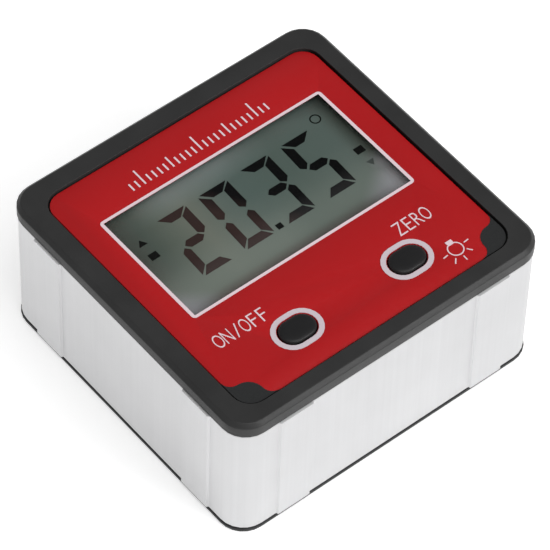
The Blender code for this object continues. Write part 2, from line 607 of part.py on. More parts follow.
def build_display(shop):
    window = (WINDOW_X, WINDOW_Y)
    lcd = shop.plate("lcd_glass", [rectangle(LCD_WIDTH, LCD_LENGTH, window)], LCD_STEP_LEVEL, LCD_TOP, "lcd_glass")
    rear_middle = (WINDOW_X, REAR_GLASS_Y)
    rear = shop.plate("lcd_rear_glass", [rectangle(LCD_WIDTH - 2 * LCD_STEP, REAR_GLASS_LENGTH, rear_middle)],
                      LCD_BOTTOM, LCD_STEP_LEVEL + OVERLAP / 2)
    shop.join(lcd, rear)

    outer = rounded_rectangle(APERTURE_WIDTH + 2 * HOLDER_WALL, APERTURE_LENGTH + 2 * HOLDER_WALL, HOLDER_WALL, window)
    slot = rectangle(STRIP_LENGTH + 2 * SEAT, STRIP_WIDTH + 2 * SEAT, (WINDOW_X, STRIP_Y))
    led_hole = rectangle(LED_WIDTH + 2 * SEAT, LED_LENGTH + 2 * SEAT, (LED_X, WINDOW_Y))
    holder = shop.plate("lcd_holder", [outer, slot, led_hole], HOLDER_BOTTOM, HOLDER_TOP, "natural_plastic")
    inner = rectangle(APERTURE_WIDTH, APERTURE_LENGTH, window)
    shop.cut(holder, shop.plate("holder_space", [inner], HOLDER_BOTTOM + HOLDER_FLOOR, HOLDER_TOP + OVERLAP))

    guide = rounded_rectangle(GUIDE_WIDTH, REAR_GLASS_LENGTH, SEAT, rear_middle, 2)
    shop.plate("light_guide", [guide], GUIDE_BOTTOM, GUIDE_TOP, "natural_plastic")
    led = (LED_WIDTH, LED_LENGTH, LED_HEIGHT)
    shop.block("backlight_led", led, (LED_X, WINDOW_Y, BOARD_TOP + SEAT + LED_HEIGHT / 2), "led_white")
    strip_bottom = BOARD_TOP + SEAT
    strip_top = LCD_STEP_LEVEL - SEAT
    strip = (STRIP_LENGTH, STRIP_WIDTH, strip_top - strip_bottom)
    shop.block("contact_strip", strip, (WINDOW_X, STRIP_Y, (strip_top + strip_bottom) / 2), "contact_rubber")


def build_board(shop):
    gap = 2 * BOARD_SIDE_GAP
    outline = rounded_rectangle(TUBE_WIDTH - gap, TUBE_LENGTH - gap, BOARD_RADIUS)
    holes = [circle(BOARD_HOLE_RADIUS, place, FINE_STEPS) for place in SCREW_PLACES]
    shop.plate("circuit_board", [outline, *holes], BOARD_BOTTOM, BOARD_TOP, "green_board")
    sensor = (SENSOR_SIZE, SENSOR_SIZE, SENSOR_HEIGHT)
    chip = shop.block("sensor_chip", sensor, (0.0, BUTTON_Y, BOARD_TOP + SEAT + SENSOR_HEIGHT / 2), "chip_black")
    shop.soften(chip, SENSOR_HEIGHT / 8, 1)
    face = BOARD_BOTTOM - SEAT
    blob = [(0.0, face)]
    for step in range(7):
        angle = math.radians(15 * step)
        blob.append((CHIP_RADIUS * math.cos(angle), face - CHIP_HEIGHT * math.sin(angle)))
    blob[-1] = (0.0, blob[-1][1])
    shop.turned("processor_chip", blob, (0.0, 0.0, 0.0), "chip_black")
    can_level = BOARD_BOTTOM - SEAT - CRYSTAL_RADIUS
    half = CRYSTAL_LENGTH / 2
    edge = CRYSTAL_RADIUS / 4
    can = [(0.0, half), (CRYSTAL_RADIUS - edge, half), (CRYSTAL_RADIUS, half - edge), (CRYSTAL_RADIUS, -half),
           (0.0, -half)]
    shop.turned("clock_crystal", can, (CRYSTAL_X, CRYSTAL_Y, can_level), "bright_steel", FINE_STEPS, math.pi / 2)


def build_buttons(shop):
    for name, middle in BUTTONS.items():
        pivot = (middle, BUTTON_Y, BUTTON_BOTTOM)
        wall_top = BUTTON_TOP - BUTTON_CROWN
        button = shop.plate(f"{name}_button", [obround(BUTTON_LENGTH, BUTTON_WIDTH, (middle, BUTTON_Y))],
                            BUTTON_BOTTOM + OVERLAP / 2, wall_top, "button_rubber")
        crown(button, wall_top - OVERLAP, [(BUTTON_CROWN * 0.5, BUTTON_CROWN * 0.45),
                                           (BUTTON_CROWN, BUTTON_CROWN * 0.3),
                                           (BUTTON_CROWN * 2, BUTTON_CROWN * 0.25)])
        flange_edge = obround(BUTTON_LENGTH + 2 * BUTTON_FLANGE, BUTTON_WIDTH + 2 * BUTTON_FLANGE, (middle, BUTTON_Y))
        flange = shop.plate(f"{name}_button_flange", [flange_edge], BUTTON_BOTTOM,
                            BUTTON_BOTTOM + BUTTON_FLANGE_THICKNESS)
        shop.set_pivot(button, pivot)
        shop.join(button, flange)

        height = PLUNGER_TOP - PLUNGER_BOTTOM
        plunger = [(0.0, 0.0), (PLUNGER_RADIUS, 0.0), (PLUNGER_RADIUS, -height), (0.0, -height)]
        shop.turned(f"{name}_plunger", plunger, (middle, BUTTON_Y, PLUNGER_TOP), "chip_black", FINE_STEPS)

        size = (SWITCH_SIZE, SWITCH_SIZE, SWITCH_HEIGHT)
        switch = shop.block(f"{name}_switch", size, (middle, BUTTON_Y, (SWITCH_BOTTOM + SWITCH_TOP) / 2), "chip_black")
        shop.soften(switch, SWITCH_HEIGHT / 12, 1)
        well = shop.plate(f"{name}_switch_well", [circle(PLUNGER_RADIUS + SEAT, (middle, BUTTON_Y))],
                          SWITCH_TOP - PLUNGER_WELL, SWITCH_TOP + OVERLAP)
        shop.cut(switch, well)


def build_rear_cover(shop):
    outline = rounded_rectangle(BODY_WIDTH, BODY_LENGTH, CORNER_RADIUS)
    cover = shop.plate("rear_cover", [outline], 0.0, RIM_THICKNESS, "black_abs")
    shop.soften(cover, RIM_SOFT_EDGE)
    plug = rounded_rectangle(PLUG_WIDTH, PLUG_LENGTH, PLUG_RADIUS)
    shop.join(cover, shop.plate("cover_base", [plug], RIM_THICKNESS / 2, BASE_THICKNESS))
    hollow = rounded_rectangle(PLUG_WIDTH - 2 * PLUG_WALL, PLUG_LENGTH - 2 * PLUG_WALL, PLUG_WALL)
    shop.join(cover, shop.plate("cover_plug", [plug, hollow], BASE_THICKNESS - OVERLAP, PLUG_HEIGHT))
    box_edge = rectangle(PLUG_WIDTH - SIDE_FIT / 2, BOX_WIDTH)
    shop.join(cover, shop.plate("bay_box", [box_edge], BASE_THICKNESS - 2 * OVERLAP, BOX_TOP))
    for number, place in enumerate(SCREW_PLACES, 1):
        tower = shop.plate(f"cover_tower_{number}", [circle(TOWER_RADIUS, place)],
                           BASE_THICKNESS - 1.5 * OVERLAP, TOWER_TOP)
        shop.join(cover, tower)

    below = -OVERLAP
    shop.cut(cover, shop.plate("bay_space", [rectangle(BAY_LENGTH, BAY_WIDTH)], below, BAY_TOP))
    pocket = rounded_rectangle(DOOR_POCKET_LENGTH, DOOR_POCKET_WIDTH, DOOR_RADIUS + SEAT)
    shop.cut(cover, shop.plate("door_pocket", [pocket], below, POCKET_TOP))
    head = SCREW_HEAD_RADIUS + SCREW_HOLE_CLEARANCE
    shank = SCREW_RADIUS + SCREW_HOLE_CLEARANCE
    for number, place in enumerate(SCREW_PLACES, 1):
        shop.cut(cover, shop.plate(f"counterbore_{number}", [circle(head, place)], below, COUNTERBORE_DEPTH))
        shop.cut(cover, shop.plate(f"screw_way_{number}", [circle(shank, place)], OVERLAP, TOWER_TOP + OVERLAP))

    # Slots for the door's tongues, deep enough for them to swing up in.
    swing = TONGUE_LENGTH + HINGE_INSET + TONGUE_THICKNESS
    slot_bottom = DOOR_TOP - DOOR_SOFT_EDGE - TONGUE_THICKNESS - TONGUE_ROOM
    slot_top = HINGE_HEIGHT + swing + TONGUE_ROOM
    slot_outer = PLUG_WIDTH / 2 + SIDE_FIT
    slot_inner = BAY_LENGTH / 2 - OVERLAP
    for side in (-1, 1):
        size = (slot_outer - slot_inner, TONGUE_WIDTH + 2 * TONGUE_ROOM, slot_top - slot_bottom)
        middle = (-(slot_outer + slot_inner) / 2, side * TONGUE_Y, (slot_top + slot_bottom) / 2)
        shop.cut(cover, shop.block("tongue_slot_near" if side < 0 else "tongue_slot_far", size, middle))

    thumb = circle(THUMB_RADIUS, (DOOR_POCKET_LENGTH / 2 + THUMB_REACH - THUMB_RADIUS, 0.0))
    shop.cut(cover, shop.plate("thumb_notch", [thumb], below, THUMB_DEPTH))
    for side in (-1, 1):
        size = (CONTACT_THICKNESS + 2 * SEAT, TAB_WIDTH + 2 * SEAT, BAY_CEILING + 2 * OVERLAP)
        middle = (-CONTACT_X, side * CELL_SPACING / 2, BAY_TOP + BAY_CEILING / 2)
        shop.cut(cover, shop.block("tab_slot_near" if side < 0 else "tab_slot_far", size, middle))


def build_door(shop):
    outline = rounded_rectangle(DOOR_LENGTH, DOOR_WIDTH, DOOR_RADIUS)
    door = shop.plate("battery_door", [outline], DOOR_BOTTOM, DOOR_TOP, "black_abs")
    shop.soften(door, DOOR_SOFT_EDGE)
    edge = DOOR_LENGTH / 2
    for side in (-1, 1):
        length = TONGUE_LENGTH + HINGE_INSET
        size = (length, TONGUE_WIDTH, TONGUE_THICKNESS)
        middle = (-edge - TONGUE_LENGTH + length / 2, side * TONGUE_Y, DOOR_TOP - DOOR_SOFT_EDGE - TONGUE_THICKNESS / 2)
        shop.join(door, shop.block("tongue_near" if side < 0 else "tongue_far", size, middle))
    nib = (2 * LATCH_NIB, LATCH_WIDTH - 2 * LATCH_SLIT, DOOR_THICKNESS / 3)
    shop.join(door, shop.block("latch_nib", nib, (edge, 0.0, DOOR_TOP - DOOR_THICKNESS / 3)))
    for side in (-1, 1):
        size = (LATCH_LENGTH, LATCH_SLIT, DOOR_THICKNESS + 2 * OVERLAP)
        middle = (edge - LATCH_LENGTH / 2 + OVERLAP, side * LATCH_WIDTH / 2, (DOOR_BOTTOM + DOOR_TOP) / 2)
        shop.cut(door, shop.block("latch_slit_near" if side < 0 else "latch_slit_far", size, middle))
    for row in range(GRIP_COUNT):
        size = (GRIP_WIDTH, LATCH_WIDTH - 4 * LATCH_SLIT, 2 * GRIP_DEPTH)
        middle = (edge - GRIP_PITCH * (row + 1), 0.0, DOOR_BOTTOM)
        shop.cut(door, shop.block(f"grip_groove_{row + 1}", size, middle))
    shop.set_pivot(door, (HINGE_X, 0.0, HINGE_HEIGHT))


def build_power(shop):
    # Cell 1 points to +X and cell 2 to -X. The bridge joins them at the +X end.
    half = CELL_LENGTH / 2
    shift = CONTACT_X - CONTACT_THICKNESS / 2 - SEAT - half
    body_top = half - NIPPLE_LENGTH
    profile = [(0.0, half), (NIPPLE_RADIUS, half), (NIPPLE_RADIUS, body_top), (CELL_RADIUS - CELL_EDGE, body_top),
               (CELL_RADIUS, body_top - CELL_EDGE), (CELL_RADIUS, CELL_EDGE - half), (CELL_RADIUS - CELL_EDGE, -half),
               (0.0, -half)]
    for number, side in ((1, -1), (2, 1)):
        lane = side * CELL_SPACING / 2
        shop.turned(f"battery_{number}", profile, (-side * shift, lane, CELL_LEVEL), "cell_jacket",
                    ROUND_STEPS, -side * math.pi / 2)
        back = CONTACT_X - CONTACT_THICKNESS / 2 - SPRING_GAP - SPRING_WIRE_RADIUS
        tip = half - shift + SPRING_GAP + SPRING_WIRE_RADIUS
        shop.helix(f"battery_spring_{number}", SPRING_TURNS, SPRING_OUTER_RADIUS, SPRING_INNER_RADIUS,
                   side * back, side * tip, SPRING_WIRE_RADIUS, (0.0, lane, CELL_LEVEL), "nickel")

    level = (CONTACT_TOP + CONTACT_BOTTOM) / 2
    tab_top = BOARD_BOTTOM - SEAT
    for name, side in (("spring_plate", -1), ("positive_plate", 1)):
        lane = side * CELL_SPACING / 2
        plate = shop.block(name, (CONTACT_THICKNESS, CONTACT_WIDTH, CONTACT_HEIGHT), (-CONTACT_X, lane, level), "nickel")
        tab = (CONTACT_THICKNESS - WELD * 10, TAB_WIDTH, tab_top - CONTACT_TOP + OVERLAP)
        middle = (-CONTACT_X, lane, (tab_top + CONTACT_TOP - OVERLAP) / 2)
        shop.join(plate, shop.block(f"{name}_tab", tab, middle))
    size = (CONTACT_THICKNESS, CELL_SPACING + CONTACT_WIDTH, CONTACT_HEIGHT)
    shop.block("bridge_plate", size, (CONTACT_X, 0.0, level), "nickel")


def build_fasteners(shop):
    head_top = COUNTERBORE_DEPTH - SEAT
    head_bottom = head_top - SCREW_HEAD_HEIGHT
    edge = SCREW_HEAD_HEIGHT / 4
    profile = [(0.0, SCREW_TIP), (SCREW_RADIUS / 2, SCREW_TIP), (SCREW_RADIUS, SCREW_TIP - SCREW_RADIUS),
               (SCREW_RADIUS, head_top), (SCREW_HEAD_RADIUS, head_top), (SCREW_HEAD_RADIUS, head_bottom + edge),
               (SCREW_HEAD_RADIUS - edge, head_bottom), (0.0, head_bottom)]
    for number, place in enumerate(SCREW_PLACES, 1):
        screw = shop.turned(f"case_screw_{number}", profile, (*place, 0.0), "bright_steel", FINE_STEPS)
        depth = 2 * SCREW_SLOT_DEPTH
        arm = (SCREW_SLOT_LENGTH, SCREW_SLOT_WIDTH, depth)
        shop.cut(screw, shop.block(f"cross_slot_{number}", arm, (*place, head_bottom)))
        arm = (SCREW_SLOT_WIDTH, SCREW_SLOT_LENGTH, depth + WELD * 10)
        shop.cut(screw, shop.block(f"cross_arm_{number}", arm, (*place, head_bottom)))


def build_magnets(shop):
    middle_y = -(TUBE_LENGTH / 2 - SEAT - MAGNET_THICKNESS / 2)
    level = MAGNET_BOTTOM + MAGNET_HEIGHT / 2
    for number, side in ((1, -1), (2, 1)):
        size = (MAGNET_WIDTH, MAGNET_THICKNESS, MAGNET_HEIGHT)
        magnet = shop.block(f"base_magnet_{number}", size, (side * MAGNET_X, middle_y, level), "nickel")
        shop.soften(magnet, MAGNET_THICKNESS / 10, 1)


def shade(collection):
    for item in collection.objects:
        item.data.shade_smooth()
        item.data.set_sharp_from_angle(angle=math.radians(35))


def main():
    shop = Workshop()
    build_frame(shop)
    build_bezel(shop)
    build_panel(shop)
    build_prints(shop)
    build_display(shop)
    build_board(shop)
    build_buttons(shop)
    build_rear_cover(shop)
    build_door(shop)
    build_power(shop)
    build_fasteners(shop)
    build_magnets(shop)
    shade(shop.parts)


main()
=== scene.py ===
import json
import math

import bpy
from mathutils import Matrix, Vector


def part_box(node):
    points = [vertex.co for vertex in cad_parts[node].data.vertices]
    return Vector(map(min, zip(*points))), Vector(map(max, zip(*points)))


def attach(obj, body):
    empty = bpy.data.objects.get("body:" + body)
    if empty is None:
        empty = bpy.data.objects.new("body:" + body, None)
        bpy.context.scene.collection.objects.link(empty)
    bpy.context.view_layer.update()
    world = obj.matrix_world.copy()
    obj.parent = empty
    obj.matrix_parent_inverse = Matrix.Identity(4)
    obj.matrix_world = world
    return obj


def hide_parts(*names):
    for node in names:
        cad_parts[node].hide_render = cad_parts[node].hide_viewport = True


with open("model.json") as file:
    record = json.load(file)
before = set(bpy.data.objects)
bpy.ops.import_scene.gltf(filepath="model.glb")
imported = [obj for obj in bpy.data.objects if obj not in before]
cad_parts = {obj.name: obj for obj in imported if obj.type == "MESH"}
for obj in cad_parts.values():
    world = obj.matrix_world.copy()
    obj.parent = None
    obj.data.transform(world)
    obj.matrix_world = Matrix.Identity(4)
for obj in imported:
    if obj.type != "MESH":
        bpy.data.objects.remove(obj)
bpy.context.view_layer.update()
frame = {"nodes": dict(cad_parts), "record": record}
nodes = frame["nodes"]
bodies = frame["record"]["behaviour"]["bodies"]
bodyOf = {name: body for body, members in bodies.items() for name in members}
mm = 0.001


# Helpers for shader nodes

def linear(code):
    # sRGB hex to the linear values that the nodes want
    parts = [int(code[i:i + 2], 16) / 255 for i in (1, 3, 5)]
    return tuple(c / 12.92 if c < 0.04045 else ((c + 0.055) / 1.055) ** 2.4 for c in parts) + (1.0,)


def tint(tone):
    # A hex code as its colour, a plain level as a grey, and a colour as it is
    if isinstance(tone, str):
        return linear(tone)
    return tone if isinstance(tone, tuple) else (tone, tone, tone, 1.0)


def add(tree, kind, settings=None, **links):
    # One node, with its settings, and with its inputs set or joined to other nodes. A node given as
    # an input joins with its first output in use, and the stops of a colour ramp are a setting too.
    new = tree.nodes.new(kind)
    for key, value in (settings or {}).items():
        if key == "stops":
            steps = new.color_ramp.elements
            while len(steps) < len(value):
                steps.new(0.5)
            for step, (place, tone) in zip(steps, value):
                step.position, step.color = place, tint(tone)
        else:
            setattr(new, key, value)
    for key, value in links.items():
        place = int(key[1:]) if key[0] == "i" and key[1:].isdigit() else key.replace("_", " ")
        if isinstance(value, bpy.types.Node):
            value = next(output for output in value.outputs if output.enabled)
        if isinstance(value, bpy.types.NodeSocket):
            tree.links.new(value, new.inputs[place])
        else:
            new.inputs[place].default_value = value
    return new


# Settings of the nodes that mix two colours
mixed = {"data_type": "RGBA"}
multiplied = {"data_type": "RGBA", "blend_type": "MULTIPLY"}
added = {"data_type": "RGBA", "blend_type": "ADD"}


def between(low, high):
    # Stops that give a noise's patches two tones: most of its values lie from 0.3 to 0.7
    return {"stops": ((0.3, low), (0.7, high))}


def fromTo(low, high, first=0.0, last=1.0):
    # Inputs that turn the stretch from low to high into the one from first to last
    return {"i1": low, "i2": high, "i3": first, "i4": last}


def patches(tree, place, size, detail=2.0, stretch=(1, 1, 1)):
    # A pattern of patches about size metres across, longer along an axis where stretch is above 1
    mapped = add(tree, "ShaderNodeMapping", Vector=place, Scale=tuple(1 / (size * s) for s in stretch))
    return add(tree, "ShaderNodeTexNoise", Vector=mapped, Scale=1.0, Detail=detail).outputs["Fac"]


def facing(tree, axis):
    # How far the surface is turned toward an axis
    normal = add(tree, "ShaderNodeNewGeometry").outputs["Normal"]
    return add(tree, "ShaderNodeSeparateXYZ", Vector=normal).outputs[axis]


def startMaterial(name):
    material = bpy.data.materials.new(name)
    material.use_nodes = True
    tree = material.node_tree
    tree.nodes.clear()
    place = add(tree, "ShaderNodeTexCoord").outputs["Object"]
    return material, tree, place


def endMaterial(material, tree, **inputs):
    shader = add(tree, "ShaderNodeBsdfPrincipled", **inputs)
    add(tree, "ShaderNodeOutputMaterial", Surface=shader)
    return material


# Helpers for pieces

def pick(*objects):
    # Nothing else stays selected, because an operator acts on all that is
    bpy.ops.object.select_all(action="DESELECT")
    for item in objects:
        item.select_set(True)
    bpy.context.view_layer.objects.active = objects[0]


def applyAll(item):
    pick(item)
    for modifier in list(item.modifiers):
        bpy.ops.object.modifier_apply(modifier=modifier.name)


def settle(item, name):
    # Places go into the mesh, so the object sits at the origin, unturned and unscaled
    pick(item)
    bpy.ops.object.transform_apply(location=True, rotation=True, scale=True)
    item.name = name
    item.data.name = name
    return item


def wear(item, material, body, inPlaceOf=()):
    # The piece gets its material and its body, and the CAD nodes that it stands for are hidden
    item.data.materials.clear()
    item.data.materials.append(material)
    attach(item, body)
    if inPlaceOf:
        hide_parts(*inPlaceOf)
    return item


copyFinish = {
    "merge": 0.002 * mm,     # corners closer than this become one
    "flat": 0.5,             # degrees within which triangles are one flat face
    "edgeSteps": 2,
    "edgeAngle": 32,         # degrees from which an edge is sharp enough to be broken
}


def finishedCopy(node, name, material, edge=0.0, smooth=30):
    # The CAD shape with its loose triangles merged, its sharp edges broken and its rounds smooth
    item = bpy.data.objects.new(name, nodes[node].data.copy())
    bpy.context.scene.collection.objects.link(item)
    pick(item)
    bpy.ops.object.mode_set(mode="EDIT")
    bpy.ops.mesh.select_all(action="SELECT")
    bpy.ops.mesh.remove_doubles(threshold=copyFinish["merge"])
    bpy.ops.mesh.customdata_custom_splitnormals_clear()
    bpy.ops.mesh.dissolve_limited(angle_limit=math.radians(copyFinish["flat"]))
    bpy.ops.object.mode_set(mode="OBJECT")
    if edge:
        soft = item.modifiers.new("soft edges", "BEVEL")
        soft.width = edge
        soft.segments = copyFinish["edgeSteps"]
        soft.limit_method = "ANGLE"
        soft.angle_limit = math.radians(copyFinish["edgeAngle"])
        soft.use_clamp_overlap = True
        applyAll(item)
    bpy.ops.object.shade_smooth_by_angle(angle=math.radians(smooth))
    if edge:
        level = item.modifiers.new("flat faces stay flat", "WEIGHTED_NORMAL")
        level.keep_sharp = True
        applyAll(item)
    settle(item, name)
    return wear(item, material, bodyOf[node], (node,))


# Camera: the photograph's view, from the upper left with the display's right side far away

cameraView = {
    "place": (-0.22902, -0.26660, 0.45612),
    "right": (0.77584, -0.63058, 0.02086),
    "up": (0.48443, 0.61655, 0.62064),
    "lens": 265.1,           # in millimetres, as the sensor is
    "sensor": 36.0,
    "shift": (0.0066, -0.0060),
    "clip": (0.01, 20.0),
}


def makeCamera():
    data = bpy.data.cameras.new("camera")
    data.lens = cameraView["lens"]
    data.sensor_width = cameraView["sensor"]
    data.shift_x, data.shift_y = cameraView["shift"]
    data.clip_start, data.clip_end = cameraView["clip"]
    camera = bpy.data.objects.new("camera", data)
    bpy.context.scene.collection.objects.link(camera)
    right, up = Vector(cameraView["right"]), Vector(cameraView["up"])
    turn = Matrix((right, up, right.cross(up))).transposed()
    camera.matrix_world = Matrix.Translation(cameraView["place"]) @ turn.to_4x4()
    bpy.context.scene.camera = camera


# Studio: pale floor, a big soft lamp from the front right, a weak one from above

studio = {
    "floorSide": 6.0,
    "floorDrop": 0.02 * mm,  # below the rear cover's face
    "floorPaper": 0.86,
    "floorGlow": 0.46,       # what the camera and the reflections see on top of the lit floor
    "ambient": 0.42,
    # what mirrors the room sees it white near the horizon and dimmer overhead
    "mirrored": ((0.0, 1.0), (0.12, 0.55), (0.35, 0.2), (0.62, 0.12), (1.0, 0.12)),
    "lamps": {
        "keyLamp": {"place": (0.55, -1.10, 0.78), "size": 0.7, "power": 9.0},
        "topLamp": {"place": (-0.10, -0.50, 1.1), "size": 0.8, "power": 5.0},
    },
}


def makeLamp(name, place, size, power):
    data = bpy.data.lights.new(name, "AREA")
    data.shape = "SQUARE"
    data.size = size
    data.energy = power
    lamp = bpy.data.objects.new(name, data)
    bpy.context.scene.collection.objects.link(lamp)
    lamp.location = place
    lamp.rotation_mode = "QUATERNION"
    lamp.rotation_quaternion = Vector(place).to_track_quat("Z", "Y")


def makeFloor():
    bpy.ops.object.select_all(action="DESELECT")
    bpy.ops.mesh.primitive_grid_add(x_subdivisions=4, y_subdivisions=4, size=studio["floorSide"],
                                    location=(0, 0, -studio["floorDrop"]))
    floor = settle(bpy.context.object, "floor")
    material, tree, place = startMaterial("whitePaperFloor")
    paths = add(tree, "ShaderNodeLightPath").outputs
    seen = add(tree, "ShaderNodeMath", {"operation": "MAXIMUM"}, i0=paths["Is Camera Ray"],
               i1=paths["Is Glossy Ray"])
    seen = add(tree, "ShaderNodeMath", {"operation": "MAXIMUM"}, i0=seen, i1=paths["Is Transmission Ray"])
    glow = add(tree, "ShaderNodeMath", {"operation": "MULTIPLY"}, i0=seen, i1=studio["floorGlow"])
    paper = add(tree, "ShaderNodeBsdfDiffuse", Color=tint(studio["floorPaper"]))
    light = add(tree, "ShaderNodeEmission", Color=tint(1.0), Strength=glow)
    both = add(tree, "ShaderNodeAddShader", i0=paper, i1=light)
    add(tree, "ShaderNodeOutputMaterial", Surface=both)
    floor.data.materials.append(material)


def makeRoom():
    world = bpy.data.worlds.new("room")
    world.use_nodes = True
    bpy.context.scene.world = world
    tree = world.node_tree
    tree.nodes.clear()
    way = add(tree, "ShaderNodeTexCoord").outputs["Generated"]
    height = add(tree, "ShaderNodeSeparateXYZ", Vector=way).outputs["Z"]
    mirrored = add(tree, "ShaderNodeValToRGB", {"stops": studio["mirrored"]}, Fac=height)
    paths = add(tree, "ShaderNodeLightPath").outputs
    light = add(tree, "ShaderNodeMix", mixed, i0=paths["Is Diffuse Ray"], i6=mirrored,
                i7=tint(studio["ambient"]))
    light = add(tree, "ShaderNodeMix", mixed, i0=paths["Is Camera Ray"], i6=light, i7=tint(1.0))
    room = add(tree, "ShaderNodeBackground", Color=light, Strength=1.0)
    add(tree, "ShaderNodeOutputWorld", Surface=room)


print("camera and studio")
bpy.context.scene.view_settings.view_transform = "Standard"
makeCamera()
makeFloor()
makeRoom()
for name, lamp in studio["lamps"].items():
    makeLamp(name, **lamp)


# Materials

aluminiumLook = {
    "drawn": ("#c8c8c9", "#d0d0d1"),
    "drawnGloss": (0.35, 0.40),
    "streak": 0.6 * mm,      # width of the marks that the die leaves along Z
    "streakLength": 90,      # how many times as long as wide
    "streakShare": 0.55,     # of the tone, and the rest comes from the cloudy patches
    "cloud": 9 * mm,
    "grit": 0.09 * mm,       # blasting grit is finer; this is as coarse as it needs to show
    "depth": 0.003 * mm,
    "sawn": "#d2d2d3",
    "sawnLeftPaintedLight": "#f4f4f5",   # painted highlight: the sawn ends are palest at the left side, against the bezel's shadow there
    "leftPaintedLightReach": (-26 * mm, -24 * mm),
    "sawnGloss": 0.62,
    "sawnMetal": 0.15,
    "sawnFacing": (0.6, 0.85),   # how far up or down a face has to look to be a sawn end
}


def anodisedAluminium():
    # Extruded, blasted and clear anodised: pale matt metal with faint streaks along the extrusion.
    # The sawn ends are duller and paler than the drawn sides, and a painted highlight makes them palest at
    # the left side.
    look = aluminiumLook
    material, tree, place = startMaterial("anodisedExtrudedAluminium")
    streaks = patches(tree, place, look["streak"], 4.0, (1, 1, look["streakLength"]))
    grit = patches(tree, place, look["grit"], 1.0)
    cloud = patches(tree, place, look["cloud"])
    tone = add(tree, "ShaderNodeMath", {"operation": "MULTIPLY"}, i0=streaks, i1=look["streakShare"])
    tone = add(tree, "ShaderNodeMath", {"operation": "MULTIPLY_ADD"}, i0=cloud,
               i1=1 - look["streakShare"], i2=tone)
    drawn = add(tree, "ShaderNodeValToRGB", between(*look["drawn"]), Fac=tone)
    drawnGloss = add(tree, "ShaderNodeValToRGB", between(*look["drawnGloss"]), Fac=streaks)
    upOrDown = add(tree, "ShaderNodeMath", {"operation": "ABSOLUTE"}, i0=facing(tree, "Z"))
    sawn = add(tree, "ShaderNodeMapRange", i0=upOrDown, **fromTo(*look["sawnFacing"]))
    # Painted highlight: the sawn ends get paler towards the left side
    fromLeft = add(tree, "ShaderNodeSeparateXYZ", Vector=place).outputs["X"]
    fromLeft = add(tree, "ShaderNodeMapRange", i0=fromLeft, **fromTo(*look["leftPaintedLightReach"]))
    ends = add(tree, "ShaderNodeValToRGB", {"stops": ((0.0, look["sawnLeftPaintedLight"]), (1.0, look["sawn"]))},
               Fac=fromLeft)
    colour = add(tree, "ShaderNodeMix", mixed, i0=sawn, i6=drawn, i7=ends)
    gloss = add(tree, "ShaderNodeMix", {"data_type": "FLOAT"}, i0=sawn, i2=drawnGloss, i3=look["sawnGloss"])
    metal = add(tree, "ShaderNodeValToRGB", {"stops": ((0.0, 1.0), (1.0, look["sawnMetal"]))}, Fac=sawn)
    height = add(tree, "ShaderNodeMath", {"operation": "MULTIPLY_ADD"}, i0=grit, i1=0.5, i2=streaks)
    relief = add(tree, "ShaderNodeBump", Height=height, Distance=look["depth"], Strength=0.3)
    return endMaterial(material, tree, Base_Color=colour, Metallic=metal, Roughness=gloss, Normal=relief)


absLook = {
    "grain": 0.16 * mm,
    "grainDepth": 0.006 * mm,
    "cloud": 6 * mm,
    "glossSpread": 0.06,
}
# Painted shade on the bezel's left side, with a painted highlight streak above its foot
bezelSidePaintedShade = {
    "foot": 2.4 * mm,        # how far below the bezel's face
    "chamferFoot": 0.6 * mm,
    "facingLeft": (-0.7, -0.95),
    # from the foot up to the chamfer
    "shade": ((0.0, 0.15), (0.16, 0.1), (0.34, 0.85), (0.5, 0.8), (0.74, 0.45), (1.0, 0.3)),
}


def paintedLeftSideShade(tree, place, colour):
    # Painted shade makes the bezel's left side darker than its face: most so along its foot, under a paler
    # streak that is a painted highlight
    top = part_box("front_bezel")[1].z
    upward = add(tree, "ShaderNodeSeparateXYZ", Vector=place).outputs["Z"]
    upward = add(tree, "ShaderNodeMapRange", i0=upward,
                 **fromTo(top - bezelSidePaintedShade["foot"], top - bezelSidePaintedShade["chamferFoot"]))
    shade = add(tree, "ShaderNodeValToRGB", {"stops": bezelSidePaintedShade["shade"]}, Fac=upward)
    turned = add(tree, "ShaderNodeMapRange", i0=facing(tree, "X"), **fromTo(*bezelSidePaintedShade["facingLeft"]))
    return add(tree, "ShaderNodeMix", multiplied, i0=turned, i6=colour, i7=shade)


def blackAbs(name, colours, gloss, shine=0.5, paintedLeftShade=False):
    # Injection moulded ABS from a spark-eroded tool: dark, with an even fine grain and a soft shine
    material, tree, place = startMaterial(name)
    grain = patches(tree, place, absLook["grain"])
    cloud = patches(tree, place, absLook["cloud"], 3.0)
    colour = add(tree, "ShaderNodeValToRGB", between(*colours), Fac=cloud)
    # Painted shade on the left side, with a painted highlight streak
    if paintedLeftShade:
        colour = paintedLeftSideShade(tree, place, colour)
    glossEnds = between(gloss - absLook["glossSpread"], gloss + absLook["glossSpread"])
    rough = add(tree, "ShaderNodeValToRGB", glossEnds, Fac=grain)
    relief = add(tree, "ShaderNodeBump", Height=grain, Distance=absLook["grainDepth"], Strength=0.8)
    return endMaterial(material, tree, Base_Color=colour, Roughness=rough, IOR=1.5,
                       Specular_IOR_Level=shine, Normal=relief)


labelLook = {
    "red": ("#b01116", "#b41318"),
    "gloss": (0.33, 0.41),
    "peel": 0.7 * mm,
    "peelDepth": 0.004 * mm,
    "cloud": 14 * mm,
    "edge": "#29292a",       # the cut edge is black beside the two black corner fields
    "edgeReach": 5.5 * mm,   # from the corner, along both sides together
    "edgeFacing": 0.97,      # a face that looks up less than this is the cut edge
}


